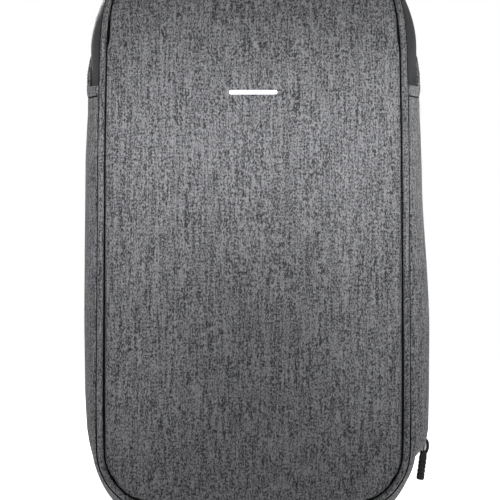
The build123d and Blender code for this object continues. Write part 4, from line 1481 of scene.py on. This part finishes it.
for sideName, sign in (("Left", -1), ("Right", 1)):
    low = sideName.lower()
    half, y, z, off, e = pocketGrid(sideName, False, pocket["columns"], pocket["rows"])
    outer = np.stack([sign * (half + off), y, z], -1)
    innerLeast = -pocket["least"]
    innerOff = np.where(
        e > pocket["seamWidth"], np.maximum(off - pocket["wall"], innerLeast), pocket["innerTuck"]
    )
    inside = np.stack([sign * (half + innerOff), y, z], -1)[::-1]
    pocketPiece = gridPiece(
        "sidePocket" + sideName, np.concatenate([outer, inside]), (heatherCloth, heatherCloth), wrapRows=True
    )
    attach(pocketPiece, "front_flap")
    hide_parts("side_pocket_" + low)
    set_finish(pocketPiece, "grey_cloth")
    inward = (np.arange(2 * pocket["rows"]) >= pocket["rows"] - 1).astype(np.int32)
    pocketPiece.data.polygons.foreach_set("material_index", np.repeat(inward, pocket["columns"] - 1))
    half, y, z, off, e = pocketGrid(sideName, True, pocket["columns"], pocket["hemRows"])
    outer = np.stack([sign * (half + off + pocket["hemOff"]), y, z], -1)
    innerOff = np.maximum(off - pocket["wall"] - pocket["hemWall"], -0.0008)
    inside = np.stack([sign * (half + innerOff), y, z], -1)[::-1]
    hemPiece = gridPiece("pocketHem" + sideName, np.concatenate([outer, inside]), heatherCloth, wrapRows=True)
    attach(hemPiece, "front_flap")
    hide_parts("pocket_hem_" + low)
    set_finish(hemPiece, "grey_cloth")
    # painted shade: a near-black cord along the hem's lower edge, standing for the shadow under the hem
    hemShadeLine = outer[0, 3:-3] - np.array([sign * 0.0006, 0, 0.0003])
    groove = tubePiece(
        "pocketHemGroove" + sideName, hemShadeLine, (0, 0, 1), pocket["hemShadeRadius"], seamShadow, sides=8
    )
    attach(groove, "front_flap")
    for k, row in enumerate((1, 8)):
        line = outer[row] + np.array([sign * 0.0001, 0, 0])
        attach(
            stitchPiece(
                f"pocketHemStitches{sideName}{k + 1}", line[3:-3], (sign * 1.0, 0, 0), thread, greyThread
            ),
            "front_flap"
        )

# gores: thin webs folded inside the ends of the zip
gore = dict(low=0.02, high=0.085, inset=0.0046, thickness=0.0009, front=-0.0665, back=0.0035)
ys = np.linspace(gore["front"], gore["back"], 20)
section = [(y, gore["inset"]) for y in ys] + [(y, gore["inset"] + gore["thickness"]) for y in ys[::-1]]
loopZ = fullLoop[:, 1]
for sideName, sign in (("Left", -1), ("Right", 1)):
    rows = np.flatnonzero((loopZ > gore["low"]) & (loopZ < gore["high"]) & (fullLoop[:, 0] * sign > 0))
    grid = carryRound(section, rows)
    gorePiece = gridPiece("gore" + sideName, grid, greyLining, wrapCols=True, capRows=True)
    finer = gorePiece.modifiers.new("finer", "SUBSURF")
    finer.levels = finer.render_levels = 2
    settle(gorePiece)
    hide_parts("gore_" + sideName.lower())
    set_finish(gorePiece, "lining")
    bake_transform(gorePiece)
print("pockets, webbing and gores made")


# the inside pocket, the badge, the main pull and the hard pieces
organiser = dict(
    half=0.09, low=0.1, high=0.29, back=-0.0698, depth=0.0138, roll=0.014, wall=0.0006, folds=0.0006,
    foldSize=0.05, foldFrom=0.02,
)
acrossPocket = np.linspace(-organiser["half"], organiser["half"], 70)
x, z = np.meshgrid(acrossPocket, np.linspace(organiser["low"], organiser["high"], 70))
side = np.minimum(organiser["half"] - np.abs(x), z - organiser["low"])
waves = ripple(np.stack([x, 0 * x, z], -1), organiser["foldSize"], 31)
folds = organiser["folds"] * waves * np.clip(side / organiser["foldFrom"], 0, 1)
depth = organiser["depth"] * quarterRound(side, organiser["roll"]) + folds
outer = np.stack([x, organiser["back"] + depth + organiser["wall"], z], -1)
inside = np.stack([x, organiser["back"] + np.maximum(depth - organiser["wall"], 0.0001), z], -1)[::-1]
organiserPocket = gridPiece("organiserPocket", np.concatenate([outer, inside]), airMesh, wrapRows=True)
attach(organiserPocket, "front_flap")
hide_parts("organiser_pocket")
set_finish(organiserPocket, "lining")
rimLine = outer[-1][2:-2]
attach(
    bandPiece("organiserBinding", rimLine + (0, 0, -0.003), (0, 0, 1.0), 0.01, 0.0026, blackWebbing),
    "front_flap"
)

badge = dict(width=0.0405, height=0.0036, z=0.365, corner=0.0012, points=80, raised=0.0005, sunk=0.0012)
outline = roundedBox(badge["width"], badge["height"], 0, badge["z"], badge["corner"], badge["points"])
points = meshPoints(frontCover.data)
near = points[
    (np.abs(points[:, 0]) < 0.025) & (np.abs(points[:, 2] - badge["z"]) < 0.01) & (points[:, 1] < -0.07)
]
face = float(near[:, 1].min())
badgePiece = padPiece(
    "badgeBar", outline, lambda x, z, e: face - badge["raised"] * quarterRound(e, badge["raised"]),
    lambda x, z, e: face + badge["sunk"] + 0 * e, palePrint, rings=12,
)
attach(badgePiece, "front_flap")
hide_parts("badge")
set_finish(badgePiece, "badge_print")

# main pull: a moulded rubber bar with grip grooves, hung from the slider by a rubber loop and a metal ring
pull = dict(
    pin=(0.1502, 0.009, 0.0592), lean=7.5, start=0.0038, length=0.0258, halfWidth=0.0039,
    halfThickness=0.0034, rings=90, points=28, endPower=26, squareness=0.5, groove=0.1, grooveCount=7,
    grooveWidth=0.45, grooveFrom=0.25, grooveTo=0.85, neck=0.8, neckLength=0.25,
)
down = np.array([-np.sin(radians(pull["lean"])), 0, -np.cos(radians(pull["lean"]))])
sideways = np.array([0, 1.0, 0])
through = np.cross(down, sideways)
t = np.linspace(0, 1, pull["rings"])
ends = np.clip(1 - np.abs(2 * t - 1) ** pull["endPower"], 0.01, 1) ** 0.5
ribbed = (t > pull["grooveFrom"]) & (t < pull["grooveTo"])
grooves = 1 - pull["groove"] * (np.sin(t * 2 * pi * pull["grooveCount"]) > pull["grooveWidth"]) * ribbed
a = np.linspace(0, 2 * pi, pull["points"], endpoint=False)
u = squared(np.cos(a), pull["squareness"])
v = squared(np.sin(a), pull["squareness"])
centre = np.array(pull["pin"]) + down * (pull["start"] + t[:, None] * pull["length"])
flare = pull["neck"] + 0.2 * np.clip(t / pull["neckLength"], 0, 1)
grid = (
    centre[:, None]
    + sideways * (u[None] * (pull["halfWidth"] * ends * flare * grooves)[:, None])[..., None]
    + through * (v[None] * (pull["halfThickness"] * ends * flare * grooves)[:, None])[..., None]
)
pullPiece = gridPiece("zipPull", grid, blackRubber, wrapCols=True, capRows=True)
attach(pullPiece, "zip_pull")
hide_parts("zip_pull")
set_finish(pullPiece, "rubber")
a = np.linspace(0, 2 * pi, 60, endpoint=False)
for name, back, length, width, radius, finish in (
    ("pullLoop", 0.0002, 0.0066, 0.003, 0.0013, blackRubber),
    ("pullRing", -0.0004, 0.0034, 0.0034, 0.0013, gunmetal),
):
    middle = np.array(pull["pin"]) + down * back
    flatWay, steady = (through, sideways) if finish is blackRubber else (sideways, through)
    loopLine = middle + down * (length * np.cos(a))[:, None] + flatWay * (width * np.sin(a))[:, None]
    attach(tubePiece(name, loopLine, steady, radius, finish, closed=True, sides=12), "zip_pull")

for name in ("zip_slider", "back_slider", "back_pull"):
    nodes[name].material_slots[0].material = gunmetal
for low in ("left", "right"):
    nodes["ladder_lock_" + low].material_slots[0].material = blackAcetal
nodes["usb_port"].material_slots[0].material = blackAcetal
nodes["usb_cap"].material_slots[0].material = blackRubber
nodes["base_board"].material_slots[0].material = stiffBoard
edgeWidths = dict(
    zip_slider=0.0007, back_slider=0.0007, back_pull=0.0006, ladder_lock_left=0.0008,
    ladder_lock_right=0.0008, usb_port=0.0007, usb_cap=0.0005,
)
for name, width in edgeWidths.items():
    weld = nodes[name].modifiers.new("weld", "WELD")
    weld.merge_threshold = 1e-5
    bevel = nodes[name].modifiers.new("bevel", "BEVEL")
    bevel.width = width
    bevel.segments = 3
    bevel.limit_method = "ANGLE"
    bevel.angle_limit = radians(40)
print("hard pieces made")


floorMesh = bpy.data.meshes.new("floor")
floorMesh.from_pydata([(-6, -6, 0), (6, -6, 0), (6, 6, 0), (-6, 6, 0)], [], [(0, 1, 2, 3)])
floorFinish, floorTree, floorShader = newMaterial("paleFloor", Roughness=0.9, Emission_Strength=0.8)
floorShader.inputs["Emission Color"].default_value = (1, 1, 1, 1)
cloudy = noiseValue(floorTree, stretched(floorTree, (1, 1, 1)), 3.0)
floorTree.links.new(
    shadeBy(floorTree, (0.93, 0.93, 0.93), (0.96, 0.96, 0.96), cloudy, 1.0), floorShader.inputs["Base Color"]
)
floor = addPiece("floor", floorMesh, floorFinish, False)
floor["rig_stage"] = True

# the studio: white all round to the eye, but a much softer light on things
studio = dict(seen=1.0, light=0.22)
world = bpy.data.worlds.new("studio")
bpy.context.scene.world = world
world.use_nodes = True
tree = world.node_tree
background = tree.nodes["Background"]
background.inputs["Color"].default_value = (1, 1, 1, 1)
eye = addNode(tree, "ShaderNodeLightPath").outputs["Is Camera Ray"]
strength = mathNode(
    tree, "ADD", mathNode(tree, "MULTIPLY", eye, studio["seen"] - studio["light"]), studio["light"]
)
tree.links.new(strength, background.inputs["Strength"])

# two wide soft boxes make a pool on the upper front; the others light the sides and the back
lights = dict(
    front=dict(
        place=(0.1, -1.25, 0.36), at=(0.01, -0.08, 0.336), wide=0.45, high=0.08, power=0.42, spread=16
    ),
    lower=dict(place=(0.1, -1.25, 0.3), at=(0.01, -0.08, 0.2), wide=0.5, high=0.1, power=0.16, spread=20),
    lowLeft=dict(
        place=(-0.112, -1.25, 0.17), at=(-0.112, -0.08, 0.155), wide=0.04, high=0.16, power=0.017, spread=9
    ),
    lowRight=dict(
        place=(0.118, -1.25, 0.19), at=(0.112, -0.08, 0.18), wide=0.04, high=0.16, power=0.017, spread=9
    ),
    right=dict(place=(1.3, -0.35, 0.62), at=(0.1, 0, 0.3), wide=0.6, high=0.6, power=2.3, spread=110),
    left=dict(place=(-1.5, 0.1, 0.7), at=(-0.1, 0, 0.3), wide=0.6, high=0.6, power=0.7, spread=110),
    back=dict(place=(-0.4, 1.7, 1.0), at=(0, 0, 0.25), wide=0.9, high=0.7, power=11.0, spread=110),
)
for name, light in lights.items():
    lamp = bpy.data.lights.new(name, "AREA")
    lamp.shape = "RECTANGLE"
    lamp.size = light["wide"]
    lamp.size_y = light["high"]
    lamp.energy = light["power"]
    lamp.spread = radians(light["spread"])
    holder = bpy.data.objects.new(name, lamp)
    holder.location = light["place"]
    holder.rotation_euler = (Vector(light["at"]) - Vector(light["place"])).to_track_quat("-Z", "Y").to_euler()
    bpy.context.scene.collection.objects.link(holder)

# the view: level, from about 1.73 m in front of the panel and a little to the right
look = dict(place=(0.015, -1.806, 0.2327), at=(-0.0035, 0.0, 0.2327), lens=148.0)
camera = bpy.data.cameras.new("camera")
camera.lens = look["lens"]
camera.sensor_width = 36.0
camera.clip_end = 50.0
holder = bpy.data.objects.new("camera", camera)
holder.location = look["place"]
holder.rotation_euler = (Vector(look["at"]) - Vector(look["place"])).to_track_quat("-Z", "Y").to_euler()
bpy.context.scene.collection.objects.link(holder)
bpy.context.scene.camera = holder
bpy.context.scene.view_settings.view_transform = "Standard"
print("stage set")

# pieces without a slot of their own take the one their finish stands for
finishSlots = dict(
    heatherCloth="grey_cloth", darkHeather="black_webbing", greyThread="grey_cloth",
    blackThread="black_nylon", seamShadow="black_nylon", zipNylon="zip_tape", blackWebbing="black_webbing",
    zipTape="zip_tape", greyLining="lining", blackNylon="black_nylon", gunmetal="gunmetal",
    blackRubber="rubber",
)
for piece in newPieces:
    finish = piece.data.materials[0].name.split(".")[0]
    if "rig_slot" not in piece and finish in finishSlots:
        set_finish(piece, finishSlots[finish])

low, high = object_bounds()
